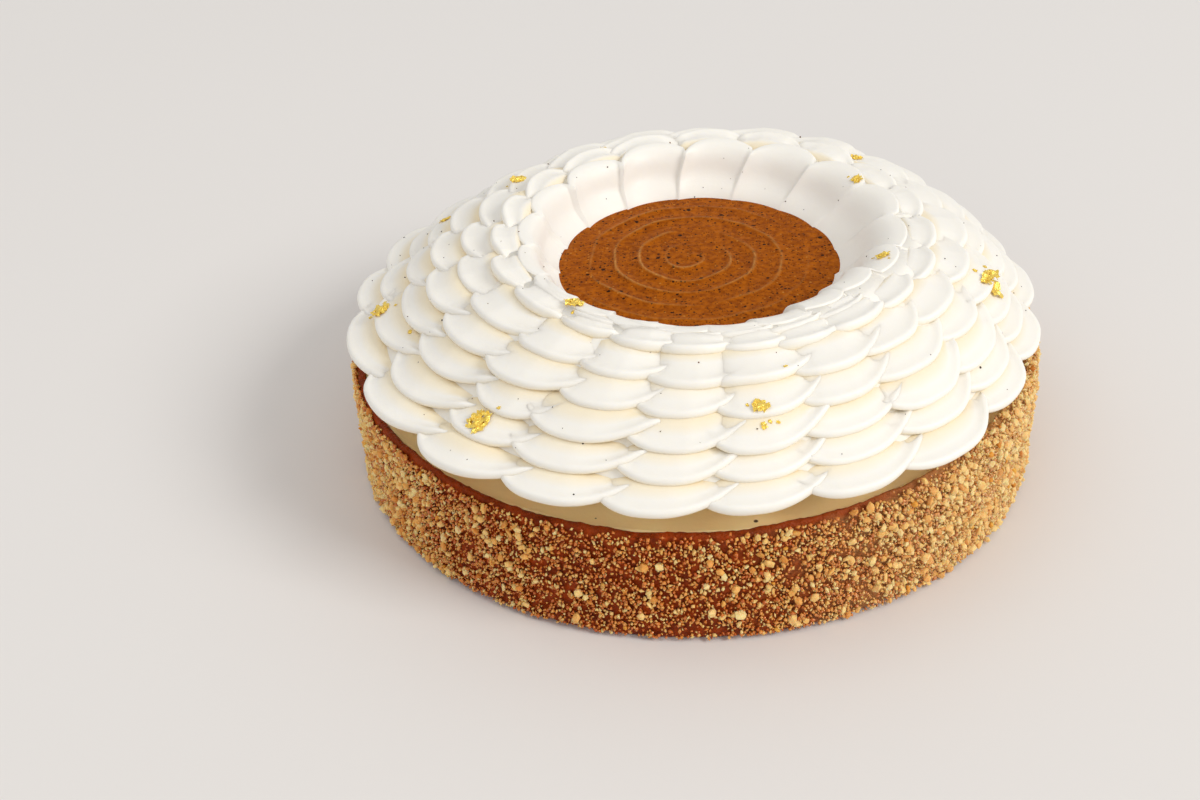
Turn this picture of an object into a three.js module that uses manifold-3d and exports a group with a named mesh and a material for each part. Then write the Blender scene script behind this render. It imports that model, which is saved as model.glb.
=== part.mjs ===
// A round macadamia tart: a baked shell coated with chopped nuts, a custard filling,
// a crown of piped cream petals flecked with gold leaf, and a praline pool in its middle.
// Millimetres, +Z up. The origin is the middle of the underside; -Y is the front.
import * as THREE from 'three';
import { mergeVertices } from 'three/addons/utils/BufferGeometryUtils.js';
import Module from 'manifold-3d';

const wasm = await Module();
wasm.setup();

// Baked shell
const SHELL_RADIUS = 93;
const SHELL_HEIGHT = 32.6;
const SHELL_WALL = 4.6;
const SHELL_BASE = 4.5;
const SHELL_FACETS = 60;
const RIM_ROUND = 2.2;
const RIM_STEPS = 6;
const RIM_WAVES = [
  { count: 5, phase: 1, height: 0.35 },
  { count: 11, phase: 2.4, height: 0.245 },
];
const RIM_NOTCH = { azimuth: -98, width: 2.5, depth: 1.2 };
const FOOT_ROUND = 1;

// Bed of fine nuts on the outside of the wall: how far it stands out, and where it ends
const COAT = { thickness: 1.2, top: 25.5, fade: 28.5 };

// Larger chopped nuts on the coat, in a loose lattice of columns and tiers
const CRUMB_COLUMNS = 66;
const CRUMB_TIERS = 3;
const CRUMB_STRAY = 0.42;
const CRUMB_SIZE = { largest: 3, smallest: 1.8 };
const CRUMB_BAND = { low: 2.6, high: 27 };
const CRUMB_SINK = 0.1;
const CRUMB_ROUGHNESS = 0.28;
const CRUMB_FLATNESS = { least: 0.7, most: 0.95 };
const CRUMB_TALLNESS = { least: 0.75, most: 1 };
const CRUMB_FRONT_SHARE = 0.62;
const CRUMB_SEED = 11;

// Fillings
const GAP = 0.3;
const CUSTARD_LEVEL = 30.8;
const CUSTARD_EDGE_ROUND = 1.2;
const PRALINE_LEVEL = 53.6;
const PRALINE_RADIUS = 42;
const PRALINE_CENTRE_X = 2.4;
const PRALINE_FACETS = 32;
const PRALINE_RINGS = 12;
const SWIRL_TURNS = 5;
const SWIRL_RELIEF = 0.45;
const SWIRL_RADIUS = 36;

// Cream crown: rows of petals from the outside in. Radius and height are those of the
// lower edge of the row's lip, shift is how far the row leans to the right.
const ROWS = [
  { radius: 94.4, height: 38.8, shift: 0.4 },
  { radius: 88.6, height: 43.1, shift: 2 },
  { radius: 82.0, height: 48.8, shift: 3.9 },
  { radius: 76.1, height: 54.3, shift: 4.9 },
  { radius: 68.9, height: 58.6, shift: 5.9 },
  { radius: 59.8, height: 62.2, shift: 6.4 },
];
const CROWN_CENTRE = { x: 4.3, y: -2 };
const PETALS_A_TURN = 20;
const FIRST_PETAL = -64.5;
const ROW_DRIFT = 0.9;
const BUNCH = { azimuth: -118, reach: 60, angle: 3.5 };
const TOP_CROWDING = 7;
const PETAL_UNEVENNESS = { azimuth: 0.8, radius: 0.9, height: 0.6 };
const PETAL_SEED = 5;

// One petal from its tucked left end, at -1, to its lifted right end, at 1. The top row
// takes only a share of the set and the tilt.
const STATIONS = [-1, -0.7, -0.2, 0.45, 1];
const STEP_SHARE = 0.04;
const LEFT_SET = 4.6;
const RIGHT_SET = 1.6;
const PETAL_TILT = 1.8;
const TOP_ROW_SHARE = 0.45;
const LIP_THICKNESS = 3.6;
const LIP_TAPER = { left: 0.7, right: 0.55 };
const LIP_ROUND = { under: 0.25, belly: 0.5, brow: 0.45 };
const VALLEY = { reach: 0.55, dip: 1.1 };
const CREVICE = { reach: 2.6, drop: 0.7 };

// Inner faces of the top row, which run down the bowl into the praline
const BOWL_CREST = { reach: 7, rise: 2.8 };
const BOWL_FACE = { reach: 12.5, rise: -1 };
const BOWL_FOOT = { radius: 37, height: 50 };
const BOWL_GROOVE = 2.2;
const CREAM_FOOT = 84;
const CREAM_HOLE = 30;
const UNDERSIDE = { inset: 9, drop: 1.5 };

// Gold leaf: where each flake lies on the crown, and its longer half-width
const GOLD_FLAKES = [
  { azimuth: -130, radius: 85.4, size: 3.4 },
  { azimuth: -12.6, radius: 77.6, size: 3.6 },
  { azimuth: -172.4, radius: 88.7, size: 3.2 },
  { azimuth: -132, radius: 49.4, size: 3.2 },
  { azimuth: -80.4, radius: 74.4, size: 3 },
  { azimuth: -80.7, radius: 79.4, size: 1.6 },
  { azimuth: 145.7, radius: 64.6, size: 2.6 },
  { azimuth: 156.7, radius: 80.7, size: 2 },
  { azimuth: 119.9, radius: 58.4, size: 2.4 },
  { azimuth: 45.3, radius: 65.3, size: 2.4 },
  { azimuth: 31.3, radius: 50.2, size: 2.2 },
  { azimuth: -19.6, radius: 49, size: 2.4 },
];
const FLAKE_THICKNESS = 1;
const FLAKE_SINK = 0.35;
const FLAKE_SIDES = 5;
const FLAKE_ROUGHNESS = 0.35;
const FLAKE_CRUMPLE = 0.3;
const FLAKE_NARROWNESS = { least: 0.55, most: 0.8 };
const FLAKE_FALL_FROM = 100;
const FLAKE_SEED = 23;

// Factor, step and range of the sequence of random numbers
const DRAWS = { factor: 1664525, step: 1013904223, range: 4294967296 };
const WELD = 1e-3;
const UP = new THREE.Vector3(0, 0, 1);
const { degToRad, radToDeg, lerp, euclideanModulo } = THREE.MathUtils;

// Numbers between 0 and 1 that are the same on every run.
function randomSource(seed) {
  let state = seed;
  return () => {
    state = (state * DRAWS.factor + DRAWS.step) % DRAWS.range;
    return state / DRAWS.range;
  };
}

// A random number between -1 and 1.
function swing(random) {
  return 2 * random() - 1;
}

// Moves every vertex of a geometry to where place(vertex, index) puts it.
function reshape(geometry, place) {
  const positions = geometry.attributes.position;
  const vertex = new THREE.Vector3();
  for (let i = 0; i < positions.count; i += 1) {
    vertex.fromBufferAttribute(positions, i);
    place(vertex, i);
    positions.setXYZ(i, vertex.x, vertex.y, vertex.z);
  }
  return geometry;
}

// Six times the volume that a triangle list encloses; negative when it is inside out.
function signedVolume(positions, index) {
  const [a, b, c] = [new THREE.Vector3(), new THREE.Vector3(), new THREE.Vector3()];
  let sum = 0;
  for (let i = 0; i < index.length; i += 3) {
    a.fromBufferAttribute(positions, index[i]);
    b.fromBufferAttribute(positions, index[i + 1]);
    c.fromBufferAttribute(positions, index[i + 2]);
    sum += a.dot(b.cross(c));
  }
  return sum;
}

// A closed geometry as a solid: shared vertices merged, collapsed triangles left out.
function solidFrom(geometry) {
  const bare = geometry.clone();
  bare.deleteAttribute('normal');
  bare.deleteAttribute('uv');
  const merged = mergeVertices(bare, WELD);
  const corners = merged.index.array;
  const kept = [];
  for (let i = 0; i < corners.length; i += 3) {
    const [a, b, c] = [corners[i], corners[i + 1], corners[i + 2]];
    if (a !== b && b !== c && c !== a) kept.push(a, b, c);
  }
  if (signedVolume(merged.attributes.position, kept) < 0) kept.reverse();
  const vertProperties = new Float32Array(merged.attributes.position.array);
  const triVerts = new Uint32Array(kept);
  return new wasm.Manifold(new wasm.Mesh({ numProp: 3, vertProperties, triVerts }));
}

// The outer body of a solid: sealed hollows are filled and loose scraps dropped.
function outerBody(solid) {
  const bodies = solid.decompose();
  return bodies.reduce((best, body) => (body.volume() > best.volume() ? body : best));
}

// A solid's triangles as a geometry.
function geometryFrom(solid) {
  const { vertProperties, triVerts } = solid.getMesh();
  const geometry = new THREE.BufferGeometry();
  geometry.setAttribute('position', new THREE.BufferAttribute(vertProperties, 3));
  geometry.setIndex(new THREE.BufferAttribute(triVerts, 1));
  geometry.computeVertexNormals();
  return geometry;
}

// A profile of [radius, height] points turned round the Z axis.
function turned(profile, facets) {
  const points = profile.map(([radius, height]) => new THREE.Vector2(radius, height));
  return new THREE.LatheGeometry(points, facets).rotateX(Math.PI / 2);
}

// A point at an azimuth, in degrees from +X towards +Y, on a circle round (shift, 0).
function onCircle(azimuth, radius, height, shift = 0) {
  const angle = degToRad(azimuth);
  return new THREE.Vector3(shift + radius * Math.cos(angle), radius * Math.sin(angle), height);
}

// The shell: a flat-bottomed cup with a rounded, slightly wavy rim.
function shellGeometry() {
  const inside = SHELL_RADIUS - SHELL_WALL;
  const rim = SHELL_HEIGHT - RIM_ROUND;
  const coat = SHELL_RADIUS + COAT.thickness;
  const profile = [[0, 0], [coat - FOOT_ROUND, 0], [coat, FOOT_ROUND], [coat, COAT.top]];
  profile.push([SHELL_RADIUS, COAT.fade]);
  const middle = SHELL_RADIUS - SHELL_WALL / 2;
  for (let i = 0; i <= RIM_STEPS; i += 1) {
    const turn = (Math.PI * i) / RIM_STEPS;
    const radius = middle + (SHELL_WALL / 2) * Math.cos(turn);
    profile.push([radius, rim + RIM_ROUND * Math.sin(turn)]);
  }
  profile.push([inside, SHELL_BASE], [0, SHELL_BASE]);
  return reshape(turned(profile, SHELL_FACETS), (vertex) => {
    const angle = Math.atan2(vertex.y, vertex.x);
    const wave = RIM_WAVES.reduce((sum, { count, phase, height }) => (
      sum + height * Math.sin(count * angle + phase)
    ), 0);
    const away = (radToDeg(angle) - RIM_NOTCH.azimuth) / RIM_NOTCH.width;
    const notch = RIM_NOTCH.depth * Math.exp(-away * away);
    vertex.z += (Math.max(0, vertex.z - rim) / RIM_ROUND) * (wave - notch);
  });
}

// One chopped nut: an uneven eight-sided lump, half sunk into the coat.
function crumb(azimuth, height, size, random) {
  const geometry = new THREE.OctahedronGeometry(1, 0);
  geometry.deleteAttribute('normal');
  geometry.deleteAttribute('uv');
  const lump = reshape(mergeVertices(geometry), (vertex) => {
    vertex.multiplyScalar(1 + CRUMB_ROUGHNESS * swing(random));
  });
  const flatness = lerp(CRUMB_FLATNESS.least, CRUMB_FLATNESS.most, random());
  lump.rotateX(Math.PI * random()).rotateY(Math.PI * random());
  const tallness = lerp(CRUMB_TALLNESS.least, CRUMB_TALLNESS.most, random());
  lump.scale(size * flatness, size, size * tallness);
  lump.rotateZ(degToRad(azimuth));
  const bed = SHELL_RADIUS + COAT.thickness;
  const centre = onCircle(azimuth, bed - size * flatness * CRUMB_SINK, height);
  return solidFrom(lump.translate(centre.x, centre.y, centre.z));
}

// The shell with its coat of nuts, thinner at the front and back than at the sides.
function coatedShell() {
  const random = randomSource(CRUMB_SEED);
  let shell = solidFrom(shellGeometry());
  for (let column = 0; column < CRUMB_COLUMNS; column += 1) {
    for (let tier = 0; tier < CRUMB_TIERS; tier += 1) {
      const across = column + 0.5 * (tier % 2) + CRUMB_STRAY * swing(random);
      const up = tier + 0.5 + CRUMB_STRAY * swing(random);
      const azimuth = (360 * across) / CRUMB_COLUMNS;
      const height = lerp(CRUMB_BAND.low, CRUMB_BAND.high, up / CRUMB_TIERS);
      const size = lerp(CRUMB_SIZE.smallest, CRUMB_SIZE.largest, random());
      const density = lerp(CRUMB_FRONT_SHARE, 1, Math.cos(degToRad(azimuth)) ** 2);
      if (random() < density) shell = shell.add(crumb(azimuth, height, size, random));
    }
  }
  return outerBody(shell);
}

// The custard: a disc that fills the shell to just below its rim.
function custard() {
  const radius = SHELL_RADIUS - SHELL_WALL - GAP;
  const edge = CUSTARD_LEVEL - CUSTARD_EDGE_ROUND;
  const floor = SHELL_BASE + GAP;
  const top = [radius - CUSTARD_EDGE_ROUND, CUSTARD_LEVEL];
  const profile = [[0, floor], [radius, floor], [radius, edge], top, [0, CUSTARD_LEVEL]];
  return solidFrom(turned(profile, SHELL_FACETS));
}

// The praline: a disc on the custard with one flat spiral ridge in its top.
function praline() {
  const floor = CUSTARD_LEVEL + GAP;
  const profile = [[0, floor], [PRALINE_RADIUS, floor]];
  for (let ring = 0; ring <= PRALINE_RINGS; ring += 1) {
    profile.push([PRALINE_RADIUS * (1 - ring / PRALINE_RINGS), PRALINE_LEVEL]);
  }
  const disc = reshape(turned(profile, PRALINE_FACETS), (vertex) => {
    const radius = Math.hypot(vertex.x, vertex.y);
    const onTop = vertex.z > (floor + PRALINE_LEVEL) / 2;
    if (onTop && radius > 0 && radius < SWIRL_RADIUS) {
      const turns = (radius / SWIRL_RADIUS) * SWIRL_TURNS;
      const phase = 2 * Math.PI * turns + Math.atan2(vertex.y, vertex.x);
      vertex.z += SWIRL_RELIEF * (Math.cos(phase) - 1) * (1 - (radius / SWIRL_RADIUS) ** 4);
    }
    vertex.x += PRALINE_CENTRE_X;
  });
  return solidFrom(disc);
}

// The room that the cream leaves round the praline.
function pralineRoom() {
  const radius = PRALINE_RADIUS + GAP;
  const profile = [[0, 0], [radius, 0], [radius, PRALINE_LEVEL + GAP], [0, PRALINE_LEVEL + GAP]];
  return solidFrom(turned(profile, PRALINE_FACETS).translate(PRALINE_CENTRE_X, 0, 0));
}

// Azimuths of a full row of petals, anticlockwise, a little closer on the left front.
// The petals of the top row crowd towards the front.
function rowAzimuths(index) {
  return Array.from({ length: PETALS_A_TURN }, (_, i) => {
    const even = FIRST_PETAL + (360 / PETALS_A_TURN) * i;
    const away = euclideanModulo(even - BUNCH.azimuth + 180, 360) - 180;
    const near = Math.max(0, 1 - Math.abs(away) / BUNCH.reach);
    const bunched = even + BUNCH.angle * Math.sin((Math.PI / 2) * near) ** 2 + ROW_DRIFT * index;
    const top = index === ROWS.length - 1 ? TOP_CROWDING : 0;
    return bunched - top * Math.cos(degToRad(bunched));
  });
}

// Every petal of every row, each a little out of place.
function pipedRows() {
  const random = randomSource(PETAL_SEED);
  const uneven = PETAL_UNEVENNESS;
  return ROWS.map((row, index) => rowAzimuths(index).map((azimuth) => ({
    azimuth: azimuth + uneven.azimuth * swing(random),
    radius: row.radius + uneven.radius * swing(random),
    height: row.height + uneven.height * swing(random),
    shift: row.shift,
    lilt: index === ROWS.length - 1 ? TOP_ROW_SHARE : 1,
  })));
}

// The azimuth at a station of a petal, between the borders with its two neighbours.
function stationAzimuth(petals, k, station) {
  const side = petals[(k + (station < 0 ? PETALS_A_TURN - 1 : 1)) % PETALS_A_TURN];
  const apart = side.azimuth - petals[k].azimuth;
  const gap = euclideanModulo(apart + 180, 360) - 180;
  return petals[k].azimuth + (gap / 2) * Math.abs(station) * (1 - STEP_SHARE);
}

// Where a petal's lip is at a station. The left end is set well back and low,
// so that the neighbour's right end stands out over it.
function lipAt(petals, k, station) {
  const { radius, height, shift, lilt } = petals[k];
  const round = 1 - Math.sqrt(1 - station * station);
  const left = station < 0;
  const taper = left ? LIP_TAPER.left : LIP_TAPER.right;
  return {
    azimuth: stationAzimuth(petals, k, station),
    radius: radius - (left ? LEFT_SET : RIGHT_SET) * round * lilt,
    height: height + PETAL_TILT * station * lilt,
    thickness: LIP_THICKNESS * lerp(1, taper, round),
    round,
    shift,
  };
}

// Points round a lip, from its lower edge over its belly to its brow.
function lipSkin({ azimuth, radius, height, thickness, shift }) {
  return [
    onCircle(azimuth, radius - LIP_ROUND.under * thickness, height, shift),
    onCircle(azimuth, radius, height + LIP_ROUND.belly * thickness, shift),
    onCircle(azimuth, radius - LIP_ROUND.brow * thickness, height + thickness, shift),
  ];
}

// The skin of one row at a station: round the lip, over the valley behind it
// and into the crevice under the lip of the next row.
function rowSkin(lip, next) {
  const { azimuth, radius, height, thickness, shift } = lip;
  const valley = lerp(radius, next.radius, VALLEY.reach);
  const between = (azimuth + next.azimuth) / 2;
  const crevice = [next.radius - CREVICE.reach, next.height - CREVICE.drop];
  return [
    ...lipSkin(lip),
    onCircle(azimuth, valley, height + thickness - VALLEY.dip, shift),
    onCircle(between, ...crevice, next.shift),
  ];
}

// The skin of the top row at a station: round the lip, over the crest and down the bowl.
function bowlSkin(lip) {
  const { azimuth, radius, height, round, shift } = lip;
  const groove = BOWL_GROOVE * round;
  const face = (shape) => [radius - shape.reach + groove, height + shape.rise - groove];
  const foot = onCircle(azimuth, BOWL_FOOT.radius + groove, BOWL_FOOT.height, PRALINE_CENTRE_X);
  foot.y -= CROWN_CENTRE.y;
  return [
    ...lipSkin(lip),
    onCircle(azimuth, ...face(BOWL_CREST), shift),
    onCircle(azimuth, ...face(BOWL_FACE), (shift + PRALINE_CENTRE_X) / 2),
    foot,
  ];
}

// The whole section of the crown at a station, from its foot up over all rows and back.
function crownSection(rows, k, station) {
  const lips = rows.map((petals) => lipAt(petals, k, station));
  const [first] = lips;
  const last = lips[lips.length - 1];
  const floor = CUSTARD_LEVEL + GAP;
  const under = onCircle(first.azimuth, ROWS[0].radius - UNDERSIDE.inset, ROWS[0].height - UNDERSIDE.drop);
  const skin = lips.slice(0, -1).flatMap((lip, i) => rowSkin(lip, lips[i + 1]));
  const hole = onCircle(last.azimuth, CREAM_HOLE, BOWL_FOOT.height);
  const feet = [CREAM_HOLE, CREAM_FOOT].map((radius) => onCircle(first.azimuth, radius, floor));
  return [...feet, under, ...skin, ...bowlSkin(last), hole];
}

// The crown: a closed ring with one column of the grid at each station of each petal,
// cut clear of the praline.
function crown() {
  const rows = pipedRows();
  const columns = rows[0].flatMap((_, k) => STATIONS.map((station) => crownSection(rows, k, station)));
  const sides = columns[0].length;
  const ring = new THREE.TorusGeometry(2, 1, sides, columns.length);
  reshape(ring, (vertex, index) => {
    const column = (index % (columns.length + 1)) % columns.length;
    const side = Math.floor(index / (columns.length + 1)) % sides;
    vertex.copy(columns[column][side]);
    vertex.y += CROWN_CENTRE.y;
  });
  return outerBody(solidFrom(ring).subtract(pralineRoom()));
}

// One flake of gold leaf: a thin crumpled plate lying on the cream below it.
function flake(surface, { azimuth, radius, size }, random) {
  const above = onCircle(azimuth, radius, FLAKE_FALL_FROM, CROWN_CENTRE.x);
  above.y += CROWN_CENTRE.y;
  const [hit] = new THREE.Raycaster(above, UP.clone().negate()).intersectObject(surface);
  const plate = new THREE.CylinderGeometry(1, 1, 1, FLAKE_SIDES, 1).rotateX(Math.PI / 2);
  const corners = Array.from({ length: FLAKE_SIDES }, () => 1 + FLAKE_ROUGHNESS * swing(random));
  const crumple = Array.from({ length: FLAKE_SIDES }, () => FLAKE_CRUMPLE * swing(random));
  const narrowness = lerp(FLAKE_NARROWNESS.least, FLAKE_NARROWNESS.most, random());
  reshape(plate, (vertex) => {
    const turn = Math.atan2(vertex.y, vertex.x) / (2 * Math.PI);
    const corner = Math.round(turn * FLAKE_SIDES + FLAKE_SIDES) % FLAKE_SIDES;
    const onRim = Math.hypot(vertex.x, vertex.y) > 0.5;
    const reach = size * (onRim ? corners[corner] : 0);
    const bend = onRim ? crumple[corner] : 0;
    const level = vertex.z * FLAKE_THICKNESS + FLAKE_SINK + bend;
    vertex.set(vertex.x * reach, vertex.y * reach * narrowness, level);
  });
  plate.rotateZ(Math.PI * random());
  const lean = new THREE.Quaternion().setFromUnitVectors(UP, hit.face.normal);
  plate.applyQuaternion(lean).translate(hit.point.x, hit.point.y, hit.point.z);
  return solidFrom(plate);
}

// The crown with its gold leaf.
function gildedCrown() {
  const random = randomSource(FLAKE_SEED);
  const bare = crown();
  const surface = new THREE.Mesh(geometryFrom(bare));
  const flakes = GOLD_FLAKES.map((spot) => flake(surface, spot, random));
  return outerBody(flakes.reduce((cream, leaf) => cream.add(leaf), bare));
}

// A named mesh with its own finish.
function piece(name, solid, color, roughness) {
  const material = new THREE.MeshStandardMaterial({ color, roughness, metalness: 0 });
  const mesh = new THREE.Mesh(geometryFrom(solid), material);
  mesh.name = name;
  return mesh;
}

const tart = new THREE.Group();
tart.add(piece('tart_shell', coatedShell(), 0xa8743f, 0.7));
tart.add(piece('custard_filling', custard(), 0xd9bd92, 0.45));
tart.add(piece('cream_petals', gildedCrown(), 0xf6f1e6, 0.5));
tart.add(piece('praline_centre', praline(), 0x8a4a14, 0.35));

export default tart;
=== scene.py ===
"""Looks of a macadamia tart: nut-coated shell, custard, piped cream crown, praline and gold leaf."""
import logging
import math
from collections.abc import Sequence
from dataclasses import dataclass
from enum import Enum

import bmesh
import bpy
import numpy as np
from mathutils import Euler, Matrix, Vector, noise
from mathutils.bvhtree import BVHTree


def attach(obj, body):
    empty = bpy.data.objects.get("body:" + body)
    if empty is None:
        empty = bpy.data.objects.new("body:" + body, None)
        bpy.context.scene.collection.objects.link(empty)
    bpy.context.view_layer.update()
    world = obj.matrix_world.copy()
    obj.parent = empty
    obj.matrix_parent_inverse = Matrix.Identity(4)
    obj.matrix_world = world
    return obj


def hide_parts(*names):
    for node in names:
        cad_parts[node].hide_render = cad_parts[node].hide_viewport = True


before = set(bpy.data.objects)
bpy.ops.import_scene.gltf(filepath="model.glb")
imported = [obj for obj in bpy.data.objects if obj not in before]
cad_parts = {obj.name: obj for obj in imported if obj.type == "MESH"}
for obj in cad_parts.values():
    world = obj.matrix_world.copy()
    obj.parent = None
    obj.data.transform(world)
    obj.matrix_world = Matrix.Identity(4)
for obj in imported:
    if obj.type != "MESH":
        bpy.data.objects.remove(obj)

log = logging.getLogger("tart")
MM = 0.001
BODY = "root"
SIDE_FROM = 0.62

Node = bpy.types.Node
Tree = bpy.types.NodeTree
Socket = bpy.types.NodeSocket
Piece = bpy.types.Object
Material = bpy.types.Material
Setting = Socket | float | int | tuple | str | bpy.types.ID
Span = tuple[float, float]
Triple = tuple[float, float, float]
Colour = tuple[float, float, float]
Stops = tuple[tuple[float, Colour], ...]
Faces = list[tuple[int, ...]]


class Slot(Enum):
    """The record's material slots."""

    SHELL = "nut_coated_shell"
    CUSTARD = "custard"
    CREAM = "cream"
    PRALINE = "praline"


class Draws:
    """Numbers that are the same on every run."""

    FACTOR = 1664525
    STEP = 1013904223
    RANGE = 4294967296

    def __init__(self, seed: int) -> None:
        """Starts the sequence at a seed."""
        self.state = seed

    def share(self) -> float:
        """A number between 0 and 1."""
        self.state = (self.state * self.FACTOR + self.STEP) % self.RANGE
        return self.state / self.RANGE

    def swing(self) -> float:
        """A number between -1 and 1."""
        return 2 * self.share() - 1

    def between(self, low: float, high: float) -> float:
        """A number between two others."""
        return low + (high - low) * self.share()


def limited(value: float) -> float:
    """A number kept between 0 and 1."""
    return min(1.0, max(0.0, value))


def turn_between(start: float, end: float) -> float:
    """The shorter turn from one azimuth to another, in degrees."""
    return (end - start + 180) % 360 - 180


def on_ring(radius: float, angle: float, height: float) -> Triple:
    """A point at a distance from the upright axis, its angle in radians."""
    return radius * math.cos(angle), radius * math.sin(angle), height


@dataclass(frozen=True)
class Bulge:
    """A swell that fades away on both sides: its azimuth and width in degrees, and its height."""

    azimuth: float
    width: float
    amount: float

    def at(self, azimuth: float) -> float:
        """Its height at an azimuth."""
        return self.amount * math.exp(-(((azimuth - self.azimuth) / self.width) ** 2))


class Graph:
    """A node tree being built, with short calls for its nodes and links."""

    # Places of sockets whose names occur more than once on their node.
    MIX_FACTOR, MIX_UNDER, MIX_OVER, MIX_RESULT = 0, 6, 7, 2
    RANDOM_SEED = 8

    def __init__(self, tree: Tree) -> None:
        """Takes the tree that the nodes go into."""
        self.tree = tree

    def add(self, kind: str, inputs: dict[str | int, Setting] | None = None, **settings: Setting) -> Node:
        """Adds a node.

        Args:
            kind: The node's type.
            inputs: What each input is joined to, or its value, by name or place.
            settings: The node's own settings.

        Returns:
            The new node.
        """
        node = self.tree.nodes.new(kind)
        for name, value in settings.items():
            setattr(node, name, value)
        for key, value in (inputs or {}).items():
            socket = node.inputs[key]
            if isinstance(value, Socket):
                self.tree.links.new(value, socket)
            else:
                socket.default_value = value
        return node

    def math(self, operation: str, *values: Setting) -> Socket:
        """The result of an arithmetic node on one to three values."""
        node = self.add("ShaderNodeMath", dict(enumerate(values)), operation=operation)
        return node.outputs[0]

    def vector(self, operation: str, *values: Setting) -> Socket:
        """The vector that a vector arithmetic node gives for its values."""
        node = self.add("ShaderNodeVectorMath", dict(enumerate(values)), operation=operation)
        return node.outputs["Vector"]

    def scaled(self, vector: Socket, factor: Setting) -> Socket:
        """A vector times a number."""
        node = self.add("ShaderNodeVectorMath", {0: vector, "Scale": factor}, operation="SCALE")
        return node.outputs["Vector"]

    def held(self, value: Socket) -> Socket:
        """A number kept between 0 and 1."""
        return self.add("ShaderNodeClamp", {0: value}).outputs[0]

    def mixed(self, mask: Setting, under: Setting, over: Setting, blend: str = "MIX") -> Socket:
        """A colour laid over another by a mask."""
        inputs = {self.MIX_FACTOR: mask, self.MIX_UNDER: under, self.MIX_OVER: over}
        return self.add("ShaderNodeMix", inputs, data_type="RGBA", blend_type=blend).outputs[self.MIX_RESULT]

    def random(self, low: Setting, high: Setting, seed: Setting, salt: int) -> Socket:
        """A random number for each point or instance, between two others."""
        inputs = {2: low, 3: high, self.RANDOM_SEED: self.math("ADD", seed, salt)}
        return self.add("FunctionNodeRandomValue", inputs, data_type="FLOAT").outputs[1]

    def random_vector(self, low: Triple, high: Triple, seed: Setting, salt: int) -> Socket:
        """A random vector for each point or instance, between two corners."""
        inputs = {0: low, 1: high, self.RANDOM_SEED: self.math("ADD", seed, salt)}
        return self.add("FunctionNodeRandomValue", inputs, data_type="FLOAT_VECTOR").outputs[0]

    def carried(self, name: str, kind: str = "FLOAT") -> Socket:
        """An attribute that the geometry carries."""
        return self.add("GeometryNodeInputNamedAttribute", {"Name": name}, data_type=kind).outputs[0]


def start_tree(kind: str, name: str, inputs: dict[str, str], outputs: dict[str, str]) -> tuple[Graph, Node]:
    """Starts a node group.

    Args:
        kind: The type of its tree.
        name: Its name.
        inputs: The socket type of each named input.
        outputs: The socket type of each named output.

    Returns:
        The graph and its input node.
    """
    tree = bpy.data.node_groups.new(name, kind)
    for in_out, sockets in (("INPUT", inputs), ("OUTPUT", outputs)):
        for label, socket in sockets.items():
            tree.interface.new_socket(label, in_out=in_out, socket_type=f"NodeSocket{socket}")
    graph = Graph(tree)
    return graph, graph.add("NodeGroupInput")


def shape_tree(name: str, inputs: dict[str, str]) -> tuple[Graph, Node]:
    """Starts a Geometry Nodes tree, whose first input and only output is the geometry."""
    geometry = {"Geometry": "Geometry"}
    return start_tree("GeometryNodeTree", name, {**geometry, **inputs}, geometry)


def close_tree(graph: Graph, geometry: Socket, material: Socket) -> Tree:
    """Ends a tree with its instances realized and its material set.

    Args:
        graph: The graph to end.
        geometry: What the tree has made.
        material: The tree's material input.

    Returns:
        The finished tree.
    """
    real = graph.add("GeometryNodeRealizeInstances", {"Geometry": geometry})
    dressed = graph.add("GeometryNodeSetMaterial", {"Geometry": real.outputs[0], "Material": material})
    graph.add("NodeGroupOutput", {"Geometry": dressed.outputs[0]})
    return graph.tree


def linked(name: str, data: bpy.types.ID) -> Piece:
    """Makes an object and links it to the scene.

    Args:
        name: The object's name.
        data: Its mesh, camera or light.

    Returns:
        The object.
    """
    piece = bpy.data.objects.new(name, data)
    bpy.context.scene.collection.objects.link(piece)
    return piece


def grown(name: str, seedbed: Piece, tree: Tree, values: dict[str, Setting]) -> Piece:
    """Runs a tree on an object and keeps the result as a plain mesh in its place.

    Args:
        name: The new piece's name.
        seedbed: The object the tree works on; it is removed.
        tree: The Geometry Nodes tree.
        values: The tree's inputs by name.

    Returns:
        The new piece.
    """
    modifier = seedbed.modifiers.new("grow", "NODES")
    modifier.node_group = tree
    for item in tree.interface.items_tree:
        if item.in_out == "INPUT" and item.name in values:
            modifier[item.identifier] = values[item.name]
    seedbed.update_tag()
    depsgraph = bpy.context.evaluated_depsgraph_get()
    mesh = bpy.data.meshes.new_from_object(seedbed.evaluated_get(depsgraph))
    mesh.name = name
    bpy.data.objects.remove(seedbed)
    return linked(name, mesh)


def mesh_object(name: str, points: np.ndarray, faces: Faces, smooth: bool = True) -> Piece:
    """Makes a mesh object from points in millimetres, with its faces turned outwards.

    Args:
        name: The object's name.
        points: One row of three numbers for each vertex.
        faces: Vertex numbers of each face.
        smooth: Whether its faces are shaded smooth.

    Returns:
        The object, linked to the scene.
    """
    mesh = bpy.data.meshes.new(name)
    mesh.from_pydata((np.asarray(points) * MM).tolist(), [], faces)
    work = bmesh.new()
    work.from_mesh(mesh)
    bmesh.ops.recalc_face_normals(work, faces=work.faces)
    if work.calc_volume(signed=True) < 0:
        bmesh.ops.reverse_faces(work, faces=work.faces)
    work.to_mesh(mesh)
    work.free()
    mesh.polygons.foreach_set("use_smooth", [smooth] * len(mesh.polygons))
    return linked(name, mesh)


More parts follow.
